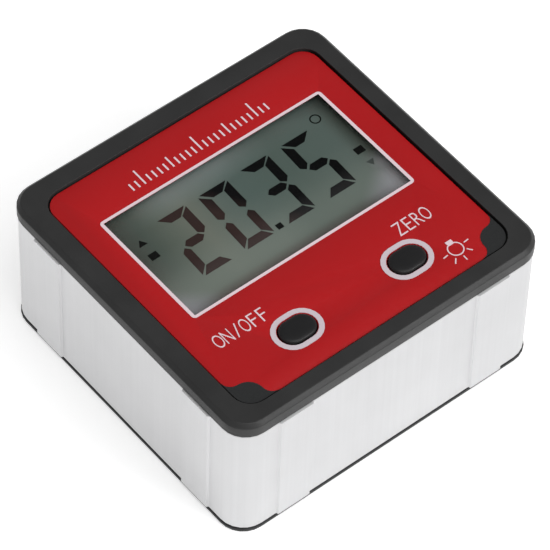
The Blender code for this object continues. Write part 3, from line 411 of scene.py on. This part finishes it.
def redLabel():
    # Silk-screened polycarbonate label: deep even red with a satin face and a slight orange peel
    look = labelLook
    material, tree, place = startMaterial("redPrintedPolycarbonate")
    peel = patches(tree, place, look["peel"])
    cloud = patches(tree, place, look["cloud"])
    colour = add(tree, "ShaderNodeValToRGB", between(*look["red"]), Fac=cloud)
    low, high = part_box("front_panel")
    spot = add(tree, "ShaderNodeSeparateXYZ", Vector=place).outputs
    outward = add(tree, "ShaderNodeMath", {"operation": "SUBTRACT"}, i0=spot["X"], i1=(low.x + high.x) / 2)
    outward = add(tree, "ShaderNodeMath", {"operation": "ABSOLUTE"}, i0=outward)
    outward = add(tree, "ShaderNodeMath", {"operation": "SUBTRACT"}, i0=outward, i1=spot["Y"])
    nearCorner = add(tree, "ShaderNodeMath", {"operation": "GREATER_THAN"}, i0=outward,
                     i1=(high.x - low.x) / 2 - low.y - look["edgeReach"])
    turned = add(tree, "ShaderNodeMath", {"operation": "LESS_THAN"}, i0=facing(tree, "Z"),
                 i1=look["edgeFacing"])
    cutEdge = add(tree, "ShaderNodeMath", {"operation": "MULTIPLY"}, i0=nearCorner, i1=turned)
    colour = add(tree, "ShaderNodeMix", mixed, i0=cutEdge, i6=colour, i7=tint(look["edge"]))
    rough = add(tree, "ShaderNodeValToRGB", between(*look["gloss"]), Fac=peel)
    relief = add(tree, "ShaderNodeBump", Height=peel, Distance=look["peelDepth"], Strength=0.35)
    return endMaterial(material, tree, Base_Color=colour, Roughness=rough, IOR=1.58,
                       Specular_IOR_Level=0.28, Normal=relief)


inkLook = {
    "mesh": 0.22 * mm,
    "depth": 0.002 * mm,
    "glossSpread": (-0.04, 0.05),
}


def screenInk(name, low, high, gloss=0.42, shine=0.5):
    # Silk-screen ink: opaque and satin, a little uneven where the mesh left it
    material, tree, place = startMaterial(name)
    mesh = patches(tree, place, inkLook["mesh"])
    colour = add(tree, "ShaderNodeValToRGB", between(low, high), Fac=mesh)
    less, more = inkLook["glossSpread"]
    rough = add(tree, "ShaderNodeValToRGB", between(gloss + less, gloss + more), Fac=mesh)
    relief = add(tree, "ShaderNodeBump", Height=mesh, Distance=inkLook["depth"], Strength=0.4)
    return endMaterial(material, tree, Base_Color=colour, Roughness=rough, IOR=1.5,
                       Specular_IOR_Level=shine, Normal=relief)


lensLook = {
    "haze": 5 * mm,
    "veil": ("#3a403e", "#454b49"),
    "veilShare": 0.03,
    "gloss": (0.05, 0.10),
}


def clearAcrylic():
    # Cast acrylic lens: clear and glossy, only its faint haze and its gleam are seen
    look = lensLook
    material, tree, place = startMaterial("clearAcrylicLens")
    haze = patches(tree, place, look["haze"], 3.0)
    veil = add(tree, "ShaderNodeValToRGB", between(*look["veil"]), Fac=haze)
    rough = add(tree, "ShaderNodeValToRGB", between(*look["gloss"]), Fac=haze)
    return endMaterial(material, tree, Base_Color=veil, Roughness=rough, IOR=1.49, Alpha=look["veilShare"])


# Places on the display go from 0 to 1, from its left to its right and from its lower edge up
displayLook = {
    # partly the display's own grey green, partly painted light: a painted reflection left of the middle and
    # painted shade towards both sides
    "field": ((0.01, "#434640"), (0.04, "#474b45"), (0.12, "#4d5850"), (0.21, "#60695f"),
              (0.30, "#70766b"), (0.42, "#5f6c65"), (0.51, "#54655f"), (0.70, "#52625b"),
              (0.91, "#576660"), (0.985, "#515a52")),
    "low": "#7b847b",        # painted highlight: the paler lower part
    "lowUpward": ((0.2, 0.85), (0.336, 0.62), (0.45, 0.25), (0.6, 0.0)),
    "lowAcross": ((0.50, 1.0), (0.62, 0.68)),
    "top": "#808d8a",        # painted reflection: the gleam under the upper edge
    "topUpward": ((0.78, 0.0), (0.92, 0.75), (1.0, 0.9)),
    "topAcross": ((0.05, 0.0), (0.14, 0.15), (0.28, 1.0), (0.50, 0.95), (0.58, 0.6), (0.72, 0.15)),
    # painted shadow along the lower edge, reddened by a painted reflection of the red label
    "lowEdgePaintedShadow": ((0.0, (0.6, 0.5, 0.5, 1.0)), (0.10, (0.86, 0.70, 0.72, 1.0)), (0.16, 1.0)),
    "cornerPaintedShadeReach": (1.75, 1.95),   # painted shade: across and upward together, where the far corner darkens
    "cornerPaintedShade": 0.62,
    "paintedHighlight": ((0.90, "#9a9ba0"), (0.98, "#b0b1b5")),   # painted highlight: the pale lower corners, paler at the right end
    "patchLean": 0.03,       # makes the right one a little wider than the left one
    "patchSlant": 0.7,       # how much narrower it gets upward
    "patchWidest": 0.5,      # where that ends, near the lower edge
    "patchReach": (1.08, 1.42),
    "patchShare": 0.84,
    # painted highlight up the right end, against the shade there
    "rightEndPaintedLight": (0.92, 0.98),
    "rightEndUpward": (0.43, 0.32),
    "rightEndShare": 0.75,
    "gloss": (0.40, 0.46),
    "grain": 2.5 * mm,
}


def displayPlace(tree, place):
    # Where a point lies on the display: from 0 to 1 across and upward, and from -1 to 1 about its middle
    low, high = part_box("lcd_glass")
    spot = add(tree, "ShaderNodeSeparateXYZ", Vector=place).outputs
    ax = add(tree, "ShaderNodeMapRange", {"clamp": False}, i0=spot["X"], **fromTo(low.x, high.x, -1.0, 1.0))
    ay = add(tree, "ShaderNodeMapRange", {"clamp": False}, i0=spot["Y"], **fromTo(low.y, high.y, -1.0, 1.0))
    across = add(tree, "ShaderNodeMath", {"operation": "MULTIPLY_ADD"}, i0=ax, i1=0.5, i2=0.5)
    upward = add(tree, "ShaderNodeMath", {"operation": "MULTIPLY_ADD"}, i0=ay, i1=0.5, i2=0.5)
    return across, upward, ax, ay


def paintedDisplayHighlight(tree, across, upward, ax, ay):
    # How much of the painted highlight, a pale patch, shows: it fills both lower corners, and the right end
    # up to its middle
    look = displayLook
    side = add(tree, "ShaderNodeMath", {"operation": "ABSOLUTE"}, i0=ax)
    side = add(tree, "ShaderNodeMath", {"operation": "MULTIPLY_ADD"}, i0=ax, i1=look["patchLean"], i2=side)
    drop = add(tree, "ShaderNodeMath", {"operation": "MULTIPLY"}, i0=ay, i1=-look["patchSlant"])
    drop = add(tree, "ShaderNodeMath", {"operation": "MINIMUM"}, i0=drop, i1=look["patchWidest"])
    slope = add(tree, "ShaderNodeMath", {"operation": "ADD"}, i0=side, i1=drop)
    corners = add(tree, "ShaderNodeMapRange", {"interpolation_type": "SMOOTHSTEP"}, i0=slope,
                  **fromTo(*look["patchReach"], 0.0, look["patchShare"]))
    rightEndPaintedLight = add(tree, "ShaderNodeMapRange", i0=across,
                   **fromTo(*look["rightEndPaintedLight"], 0.0, look["rightEndShare"]))
    lowHalf = add(tree, "ShaderNodeMapRange", i0=upward, **fromTo(*look["rightEndUpward"]))
    rightEndPaintedLight = add(tree, "ShaderNodeMath", {"operation": "MULTIPLY"}, i0=rightEndPaintedLight, i1=lowHalf)
    return add(tree, "ShaderNodeMath", {"operation": "MAXIMUM"}, i0=corners, i1=rightEndPaintedLight)


def displayGlass():
    # Twisted-nematic display under its polariser: a grey green field, uneven with the angle it is seen at:
    # painted highlights make it lighter along its lower edge and left of the middle, and painted shade dark
    # towards both sides
    look = displayLook
    material, tree, place = startMaterial("greyGreenDisplay")
    across, upward, ax, ay = displayPlace(tree, place)
    # The field across: the display's own tone with painted reflection and painted shade
    colour = add(tree, "ShaderNodeValToRGB", {"stops": look["field"]}, Fac=across)
    # Painted highlight on the lower part and painted reflection under the upper edge
    for part in ("low", "top"):
        height = add(tree, "ShaderNodeValToRGB", {"stops": look[part + "Upward"]}, Fac=upward)
        width = add(tree, "ShaderNodeValToRGB", {"stops": look[part + "Across"]}, Fac=across)
        share = add(tree, "ShaderNodeMath", {"operation": "MULTIPLY"}, i0=height, i1=width)
        colour = add(tree, "ShaderNodeMix", mixed, i0=share, i6=colour, i7=tint(look[part]))
    # Painted shadow along the lower edge, with a painted red reflection
    lowEdgePaintedShadow = add(tree, "ShaderNodeValToRGB", {"stops": look["lowEdgePaintedShadow"]}, Fac=upward)
    colour = add(tree, "ShaderNodeMix", multiplied, i0=1.0, i6=colour, i7=lowEdgePaintedShadow)
    # Painted shade darkens the far upper right corner
    corner = add(tree, "ShaderNodeMath", {"operation": "ADD"}, i0=across, i1=upward)
    corner = add(tree, "ShaderNodeMapRange", i0=corner,
                 **fromTo(*look["cornerPaintedShadeReach"], 1.0, look["cornerPaintedShade"]))
    colour = add(tree, "ShaderNodeMix", multiplied, i0=1.0, i6=colour, i7=corner)
    # Painted highlight on the pale lower corners and the right end
    paintedHighlight = paintedDisplayHighlight(tree, across, upward, ax, ay)
    paintedHighlightTone = add(tree, "ShaderNodeValToRGB", {"stops": look["paintedHighlight"]}, Fac=across)
    colour = add(tree, "ShaderNodeMix", mixed, i0=paintedHighlight, i6=colour, i7=paintedHighlightTone)
    grain = patches(tree, place, look["grain"])
    rough = add(tree, "ShaderNodeValToRGB", between(*look["gloss"]), Fac=grain)
    return endMaterial(material, tree, Base_Color=colour, Roughness=rough, IOR=1.5)


segmentLook = {
    "lean": 0.4,             # how much the upward place counts beside the one across
    # the brown stop is partly the crystal's own tint and partly painted reflection
    "tones": ((0.63, "#382a28"), (0.74, "#0c0b0d"), (0.95, "#080809")),
    "lowestPaintedLight": ((0.31, 0.017), (0.43, 0.0)),   # painted light that is added along the lowest bars
}


def displaySegment():
    # Dark liquid crystal: nearly black, brown in the lower left half (partly painted reflection) and paler
    # along the lowest bars (painted light)
    look = segmentLook
    material, tree, place = startMaterial("darkLiquidCrystal")
    across, upward = displayPlace(tree, place)[:2]
    slope = add(tree, "ShaderNodeMath", {"operation": "MULTIPLY_ADD"}, i0=upward, i1=look["lean"], i2=across)
    colour = add(tree, "ShaderNodeValToRGB", {"stops": look["tones"]}, Fac=slope)
    lowestPaintedLight = add(tree, "ShaderNodeValToRGB", {"stops": look["lowestPaintedLight"]}, Fac=upward)
    colour = add(tree, "ShaderNodeMix", added, i0=1.0, i6=colour, i7=lowestPaintedLight)
    return endMaterial(material, tree, Base_Color=colour, Roughness=0.5, IOR=1.2, Specular_IOR_Level=0.25)


rubberLook = {
    "black": ("#1a1a1b", "#212122"),
    "gloss": (0.42, 0.52),
    "grain": 0.12 * mm,
    "depth": 0.004 * mm,
}


def buttonRubber():
    # Moulded silicone rubber: soft black, with a dull shine on its crown
    look = rubberLook
    material, tree, place = startMaterial("blackSiliconeRubber")
    grain = patches(tree, place, look["grain"])
    colour = add(tree, "ShaderNodeValToRGB", between(*look["black"]), Fac=grain)
    rough = add(tree, "ShaderNodeValToRGB", between(*look["gloss"]), Fac=grain)
    relief = add(tree, "ShaderNodeBump", Height=grain, Distance=look["depth"], Strength=0.6)
    return endMaterial(material, tree, Base_Color=colour, Roughness=rough, IOR=1.43, Normal=relief)


plasticLook = {
    "grain": 0.4 * mm,
    "depth": 0.004 * mm,
    "glossSpread": 0.04,
}


def plainPlastic(name, low, high, gloss):
    # Moulded plastic inside the case, as it comes out of the tool
    look = plasticLook
    material, tree, place = startMaterial(name)
    grain = patches(tree, place, look["grain"])
    colour = add(tree, "ShaderNodeValToRGB", between(low, high), Fac=grain)
    glossEnds = between(gloss - look["glossSpread"], gloss + look["glossSpread"])
    rough = add(tree, "ShaderNodeValToRGB", glossEnds, Fac=grain)
    relief = add(tree, "ShaderNodeBump", Height=grain, Distance=look["depth"], Strength=0.4)
    return endMaterial(material, tree, Base_Color=colour, Roughness=rough, IOR=1.5, Normal=relief)


boardLook = {
    "resist": ((0.0, "#16502c"), (1.0, "#1e6338")),
    "thread": 0.5 * mm,
    "threadDepth": 0.004 * mm,
    "wavePeriod": 0.314,     # metres from band to band of a wave texture whose scale is 1
}


def circuitBoard():
    # Epoxy and glass board under green solder resist, with the weave just showing through
    material, tree, place = startMaterial("greenSolderResist")
    scale = boardLook["wavePeriod"] / boardLook["thread"]
    threads = [add(tree, "ShaderNodeTexWave", {"bands_direction": axis}, Vector=place, Scale=scale)
               for axis in ("X", "Y")]
    weave = add(tree, "ShaderNodeMath", {"operation": "MULTIPLY"}, i0=threads[0].outputs["Fac"],
                i1=threads[1].outputs["Fac"])
    colour = add(tree, "ShaderNodeValToRGB", {"stops": boardLook["resist"]}, Fac=weave)
    relief = add(tree, "ShaderNodeBump", Height=weave, Distance=boardLook["threadDepth"], Strength=0.3)
    return endMaterial(material, tree, Base_Color=colour, Roughness=0.3, IOR=1.5, Normal=relief)


metalLook = {
    "depth": 0.003 * mm,
    "glossSpread": (-0.05, 0.08),
}


def plainMetal(name, low, high, gloss, size=0.25, stretch=(1, 1, 1)):
    # Rolled or drawn metal with a plated finish, with fine marks of the given size in millimetres
    material, tree, place = startMaterial(name)
    marks = patches(tree, place, size * mm, 3.0, stretch)
    colour = add(tree, "ShaderNodeValToRGB", between(low, high), Fac=marks)
    less, more = metalLook["glossSpread"]
    rough = add(tree, "ShaderNodeValToRGB", between(gloss + less, gloss + more), Fac=marks)
    relief = add(tree, "ShaderNodeBump", Height=marks, Distance=metalLook["depth"], Strength=0.4)
    return endMaterial(material, tree, Base_Color=colour, Metallic=1.0, Roughness=rough, Normal=relief)


cellLook = {
    "steel": "#c9c9c6",
    "jacket": "#3f6195",
    "jacketFrom": 0.012,     # these three places are shares of the length, from the flat end
    "band": "#d3d6d8",
    "bandFrom": 0.80,
    "jacketTo": 0.968,
    "marks": 0.5 * mm,
    "depth": 0.004 * mm,
    "gloss": (0.24, 0.34),
}


def cellFinish(node, nippleSide):
    # Steel can under a shrunk plastic jacket: bare metal at both ends, plain two-colour jacket between
    look = cellLook
    material, tree, place = startMaterial("shrinkJacketOn_" + node)
    low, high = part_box(node)
    ends = (low.x, high.x) if nippleSide > 0 else (high.x, low.x)
    along = add(tree, "ShaderNodeSeparateXYZ", Vector=place).outputs["X"]
    share = add(tree, "ShaderNodeMapRange", i0=along, **fromTo(*ends))
    marks = patches(tree, place, look["marks"])
    tones = ((0.0, look["steel"]), (look["jacketFrom"], look["jacket"]), (look["bandFrom"], look["band"]),
             (look["jacketTo"], look["steel"]))
    metals = ((0.0, 1.0), (look["jacketFrom"], 0.0), (look["jacketTo"], 1.0))
    colour = add(tree, "ShaderNodeValToRGB", {"stops": tones}, Fac=share)
    metal = add(tree, "ShaderNodeValToRGB", {"stops": metals}, Fac=share)
    for sharp in (colour, metal):
        sharp.color_ramp.interpolation = "CONSTANT"
    rough = add(tree, "ShaderNodeValToRGB", between(*look["gloss"]), Fac=marks)
    relief = add(tree, "ShaderNodeBump", Height=marks, Distance=look["depth"], Strength=0.3)
    return endMaterial(material, tree, Base_Color=colour, Metallic=metal, Roughness=rough, Normal=relief)


print("materials")
aluminium = anodisedAluminium()
# The bezel gets painted shade and a painted highlight streak on its left side
bezelAbs = blackAbs("blackGrainedAbs", ("#303030", "#363636"), 0.44, 0.29, paintedLeftShade=True)
innerAbs = blackAbs("blackAbsInside", ("#1f2021", "#262728"), 0.5)
redFace = redLabel()
whiteInk = screenInk("paleScreenInk", "#e6d0d7", "#ecd8de")
ringInk = screenInk("coolPaleScreenInk", "#cfc3ca", "#d5c9d0")
blackInk = screenInk("blackScreenInk", "#28292a", "#2f3030", 0.36)
lens = clearAcrylic()
displayFace = displayGlass()
segmentInk = displaySegment()
signInk = screenInk("darkLiquidCrystalSign", "#0b0c0b", "#101110", 0.5, 0.12)
faintInk = screenInk("faintLiquidCrystalSign", "#454c49", "#4b524f", 0.35)
rubber = buttonRubber()
naturalNylon = plainPlastic("naturalNylon", "#d6d3c6", "#dedbd0", 0.45)
whiteHolder = plainPlastic("whiteMouldedHolder", "#dcdcd8", "#e6e6e2", 0.4)
lightGuideAcrylic = plainPlastic("milkyAcrylicGuide", "#e8ecea", "#f2f4f2", 0.25)
ledWhite = plainPlastic("whiteLedEpoxy", "#eceae0", "#f6f4ea", 0.3)
chipEpoxy = plainPlastic("blackChipEpoxy", "#161616", "#1e1e1e", 0.55)
contactRubber = plainPlastic("greyContactRubber", "#4a4a4c", "#565658", 0.7)
boardGreen = circuitBoard()
brightSteel = plainMetal("brightRolledSteel", "#b9bbbd", "#c8cacc", 0.28, 0.3, (20, 1, 1))
zincScrew = plainMetal("zincPlatedScrew", "#a9abad", "#c2c4c6", 0.32)
nickel = plainMetal("nickelPlatedSpringSteel", "#b6b2a8", "#c6c2b8", 0.25)
magnetNickel = plainMetal("nickelPlatedMagnet", "#b0b0ac", "#bcbcb8", 0.22, 2.0)


# Case

print("case")
brokenEdge = {"frame": 0.09 * mm, "bezel": 0.05 * mm}
finishedCopy("aluminium_frame", "aluminiumFrame", aluminium, brokenEdge["frame"])
finishedCopy("front_bezel", "frontBezel", bezelAbs, brokenEdge["bezel"])
finishedCopy("rear_cover", "rearCover", innerAbs)
finishedCopy("front_panel", "frontPanel", redFace)
finishedCopy("display_window", "displayWindow", lens)


# Buttons

print("buttons")
for name in ("on_off_button", "zero_button"):
    finishedCopy(name, name.split("_")[0] + "ButtonCap", rubber, smooth=50)


# What the display shows. The shapes lie on its upper glass, seen through the window.

displayDrawing = {           # in millimetres, apart from the lift and the thickness
    "lift": 0.01 * mm,       # above the glass
    "thickness": 0.02 * mm,
    "bottom": -0.70,         # lower edge of the figures
    "figures": ((-13.03, "ABGED"), (-5.67, "ABCDEF"), (1.67, "ABGCD"), (9.06, "AFGCD")),
    "segments": {            # one leaning figure, from its lower left corner
        "A": ((0.89, 11.53), (2.33, 10.14), (3.94, 10.14), (5.53, 11.53)),
        "B": ((5.69, 11.28), (4.22, 10.17), (4.08, 6.67), (4.83, 6.06), (5.56, 6.83)),
        "C": ((4.69, 5.50), (3.97, 4.81), (3.86, 1.61), (5.14, 0.28), (5.33, 4.81)),
        "D": ((0.28, 0.0), (4.83, 0.0), (3.81, 1.42), (1.44, 1.42)),
        "E": ((0.89, 5.50), (0.19, 4.81), (0.0, 0.31), (1.42, 1.61), (1.53, 4.86)),
        "F": ((0.53, 11.28), (0.28, 6.67), (1.03, 6.06), (1.78, 6.89), (1.92, 10.0)),
        "G": ((1.25, 5.78), (1.89, 5.08), (3.83, 5.08), (4.58, 5.78), (3.97, 6.47), (1.89, 6.47)),
    },
    "point": (0.17, -0.67, 1.14, 0.30),
    "leftSquare": (-16.94, 5.77, -15.50, 6.94),
    "rightSquare": (17.36, 2.94, 18.83, 4.16),
    "upArrow": ((-16.94, 8.63), (-15.50, 8.63), (-16.22, 9.74)),
    "downArrow": ((17.39, 1.27), (18.06, 0.22), (18.69, 1.27)),
    "degree": (16.83, 11.74, 0.86, 0.20),    # middle, outer radius and line
}


def flatShape(name, outlines, level, thickness):
    # A flat filled drawing in millimetres, made a mesh of the given thickness on the given level
    data = bpy.data.curves.new(name, "CURVE")
    data.dimensions = "2D"
    data.fill_mode = "BOTH"
    data.extrude = thickness / 2
    for outline in outlines:
        line = data.splines.new("POLY")
        line.points.add(len(outline) - 1)
        for point, (x, y) in zip(line.points, outline):
            point.co = (x * mm, y * mm, 0.0, 1.0)
        line.use_cyclic_u = True
    item = bpy.data.objects.new(name, data)
    bpy.context.scene.collection.objects.link(item)
    pick(item)
    bpy.ops.object.convert(target="MESH")
    item = bpy.context.object
    item.location.z = level + thickness / 2
    return settle(item, name)


def oblong(x0, y0, x1, y1):
    return ((x0, y0), (x1, y0), (x1, y1), (x0, y1))


def roundOutline(x, y, radius, steps=32):
    return tuple((x + radius * math.cos(math.tau * k / steps), y + radius * math.sin(math.tau * k / steps))
                 for k in range(steps))


def showOnDisplay(name, outlines, ink):
    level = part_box("lcd_glass")[1].z + displayDrawing["lift"]
    wear(flatShape(name, outlines, level, displayDrawing["thickness"]), ink, "housing")


print("display")
figures = []
for left, lit in displayDrawing["figures"]:
    for letter in lit:
        corners = displayDrawing["segments"][letter]
        figures.append([(left + x, displayDrawing["bottom"] + y) for x, y in corners])
showOnDisplay("displayFigures", figures, segmentInk)
x, y, radius, line = displayDrawing["degree"]
signs = [oblong(*displayDrawing[name]) for name in ("point", "leftSquare", "rightSquare")]
signs += [displayDrawing["upArrow"], roundOutline(x, y, radius), roundOutline(x, y, radius - line)]
showOnDisplay("displaySigns", signs, signInk)
showOnDisplay("displayFaintArrow", [displayDrawing["downArrow"]], faintInk)


# Words, icon and scale printed on the panel

printDrawing = {             # in millimetres, apart from what is given times mm
    "lift": 0.02 * mm,
    "thickness": 0.03 * mm,
    "letterSize": 3 * mm,
    "letterDepth": 0.01 * mm,
    "thin": -0.035 * mm,     # how much the letters' strokes are drawn in, before they are fitted
    "border": {"left": -19.525, "right": 19.705, "bottom": -6.62, "top": 14.49, "line": (0.51, 0.44),
               "radius": 0.6, "inside": 0.08, "insideSteps": 2},
    "words": {               # each letter with its left and right side, on one line of text
        "onOffWords": {"bottom": -12.75, "top": -10.45, "letters": (
            ("O", -19.98, -18.60), ("N", -18.45, -17.15), ("/", -16.70, -15.70), ("O", -15.45, -14.15),
            ("F", -13.85, -12.80), ("F", -12.30, -11.25))},
        "zeroWord": {"bottom": -12.90, "top": -10.60, "letters": (
            ("Z", 11.69, 13.10), ("E", 13.40, 14.50), ("R", 14.90, 16.15), ("O", 16.30, 17.69))},
    },
    "bulb": (16.21, -19.19, 1.22, 0.18),     # middle, outer radius and line
    "bulbSteps": 40,
    "bulbBase": ((15.80, -18.30), (16.62, -18.30), (16.74, -17.92), (16.74, -17.48), (15.68, -17.48),
                 (15.68, -17.92)),
    "bulbBaseLift": 0.006 * mm,
    "rays": ((13.78, -19.46, 14.62, -19.38), (17.82, -19.02, 18.68, -18.94), (16.25, -21.61, 16.27, -20.77),
             (14.50, -21.18, 15.15, -20.45), (17.40, -20.10, 17.95, -20.80)),
    "rayWidth": 0.18,
    "scale": {"left": -12.0, "right": 12.0, "count": 25, "bottom": 16.1, "width": 0.26,
              "tenth": 2.9, "fifth": 2.1, "other": 1.35},
}


def letterMesh(name, letter, left, right, bottom, top, level, thickness):
    # One letter, made a mesh first and then fitted into its place
    data = bpy.data.curves.new(name, "FONT")
    data.body = letter
    data.size = printDrawing["letterSize"]
    data.offset = printDrawing["thin"]
    data.extrude = printDrawing["letterDepth"]
    item = bpy.data.objects.new(name, data)
    bpy.context.scene.collection.objects.link(item)
    pick(item)
    bpy.ops.object.convert(target="MESH")
    item = bpy.context.object
    corners = [v.co for v in item.data.vertices]
    low = Vector([min(c[i] for c in corners) for i in range(3)])
    high = Vector([max(c[i] for c in corners) for i in range(3)])
    item.scale = ((right - left) * mm / (high.x - low.x), (top - bottom) * mm / (high.y - low.y),
                  thickness / (high.z - low.z))
    item.location = (left * mm - low.x * item.scale.x, bottom * mm - low.y * item.scale.y,
                     level - low.z * item.scale.z)
    return settle(item, name)


def strip(x0, y0, x1, y1, width):
    # A straight line of the given width between two points
    length = math.hypot(x1 - x0, y1 - y0)
    sx, sy = -(y1 - y0) / length * width / 2, (x1 - x0) / length * width / 2
    return ((x0 + sx, y0 + sy), (x0 - sx, y0 - sy), (x1 - sx, y1 - sy), (x1 + sx, y1 + sy))


def roundedOblong(x0, y0, x1, y1, radius, steps=5):
    # A rectangle with rounded corners, counter-clockwise
    points = []
    for x, y, start in ((x1, y0, -90), (x1, y1, 0), (x0, y1, 90), (x0, y0, 180)):
        middle = (x - radius if x == x1 else x + radius, y - radius if y == y1 else y + radius)
        for k in range(steps + 1):
            angle = math.radians(start + 90 * k / steps)
            points.append((middle[0] + radius * math.cos(angle), middle[1] + radius * math.sin(angle)))
    return points


def joined(name, parts):
    # Several meshes as one
    pick(*parts)
    bpy.ops.object.join()
    return settle(bpy.context.object, name)


print("prints on the panel")
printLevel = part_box("front_panel")[1].z + printDrawing["lift"]
inkDepth = printDrawing["thickness"]
border = printDrawing["border"]
across, upward = border["line"]
borderLines = [roundedOblong(border["left"], border["bottom"], border["right"], border["top"],
                             border["radius"]),
               roundedOblong(border["left"] + across, border["bottom"] + upward, border["right"] - across,
                             border["top"] - upward, border["inside"], border["insideSteps"])]
wear(flatShape("windowBorder", borderLines, printLevel, inkDepth), whiteInk, "housing",
     ("window_border_print",))

for name, word in printDrawing["words"].items():
    letters = []
    for k, (sign, left, right) in enumerate(word["letters"]):
        letters.append(letterMesh(name + str(k), sign, left, right, word["bottom"], word["top"], printLevel,
                                  inkDepth))
    wear(joined(name, letters), whiteInk, "housing")

x, y, radius, line = printDrawing["bulb"]
bulb = [roundOutline(x, y, size, printDrawing["bulbSteps"]) for size in (radius, radius - line)]
iconParts = [flatShape("bulbCircle", bulb, printLevel, inkDepth),
             flatShape("bulbBase", [printDrawing["bulbBase"]], printLevel + printDrawing["bulbBaseLift"],
                       inkDepth)]
for k, ray in enumerate(printDrawing["rays"]):
    outline = strip(*ray, printDrawing["rayWidth"])
    iconParts.append(flatShape("bulbRay" + str(k), [outline], printLevel, inkDepth))
wear(joined("lightIcon", iconParts), whiteInk, "housing")

# A plain graduation, counted from its middle tick: every fifth is longer and every tenth the longest
scale = printDrawing["scale"]
lastTick = scale["count"] - 1
pitch = (scale["right"] - scale["left"]) / lastTick
ticks = []
for k in range(scale["count"]):
    fromMiddle = (k - lastTick // 2) % 10
    high = {0: scale["tenth"], 5: scale["fifth"]}.get(fromMiddle, scale["other"])
    middle = scale["left"] + k * pitch
    ticks.append(oblong(middle - scale["width"] / 2, scale["bottom"], middle + scale["width"] / 2,
                        scale["bottom"] + high))
wear(flatShape("graduation", ticks, printLevel, inkDepth), whiteInk, "housing")


# What is under the rear cover

print("rear and inside")
finishedCopy("battery_door", "batteryDoor", innerAbs)
for name, side in (("battery_1", 1), ("battery_2", -1)):
    finishedCopy(name, "cell" + name[-1], cellFinish(name, side), smooth=40)
for k in range(1, 5):
    finishedCopy("case_screw_%d" % k, "caseScrew%d" % k, zincScrew, smooth=40)
for k in range(1, 3):
    finishedCopy("battery_spring_%d" % k, "batterySpring%d" % k, nickel, smooth=60)

# CAD nodes whose shape is right keep their mesh and get their finish
finishes = {
    "on_off_ring_print": ringInk, "zero_ring_print": ringInk,
    "left_corner_print": blackInk, "right_corner_print": blackInk, "lcd_glass": displayFace,
    "lcd_holder": whiteHolder, "light_guide": lightGuideAcrylic, "backlight_led": ledWhite,
    "contact_strip": contactRubber, "circuit_board": boardGreen, "sensor_chip": chipEpoxy,
    "processor_chip": chipEpoxy, "clock_crystal": brightSteel, "on_off_plunger": naturalNylon,
    "zero_plunger": naturalNylon, "on_off_switch": chipEpoxy, "zero_switch": chipEpoxy,
    "spring_plate": nickel, "positive_plate": nickel, "bridge_plate": nickel,
    "base_magnet_1": magnetNickel, "base_magnet_2": magnetNickel,
}
for name, material in finishes.items():
    nodes[name].data.materials.clear()
    nodes[name].data.materials.append(material)
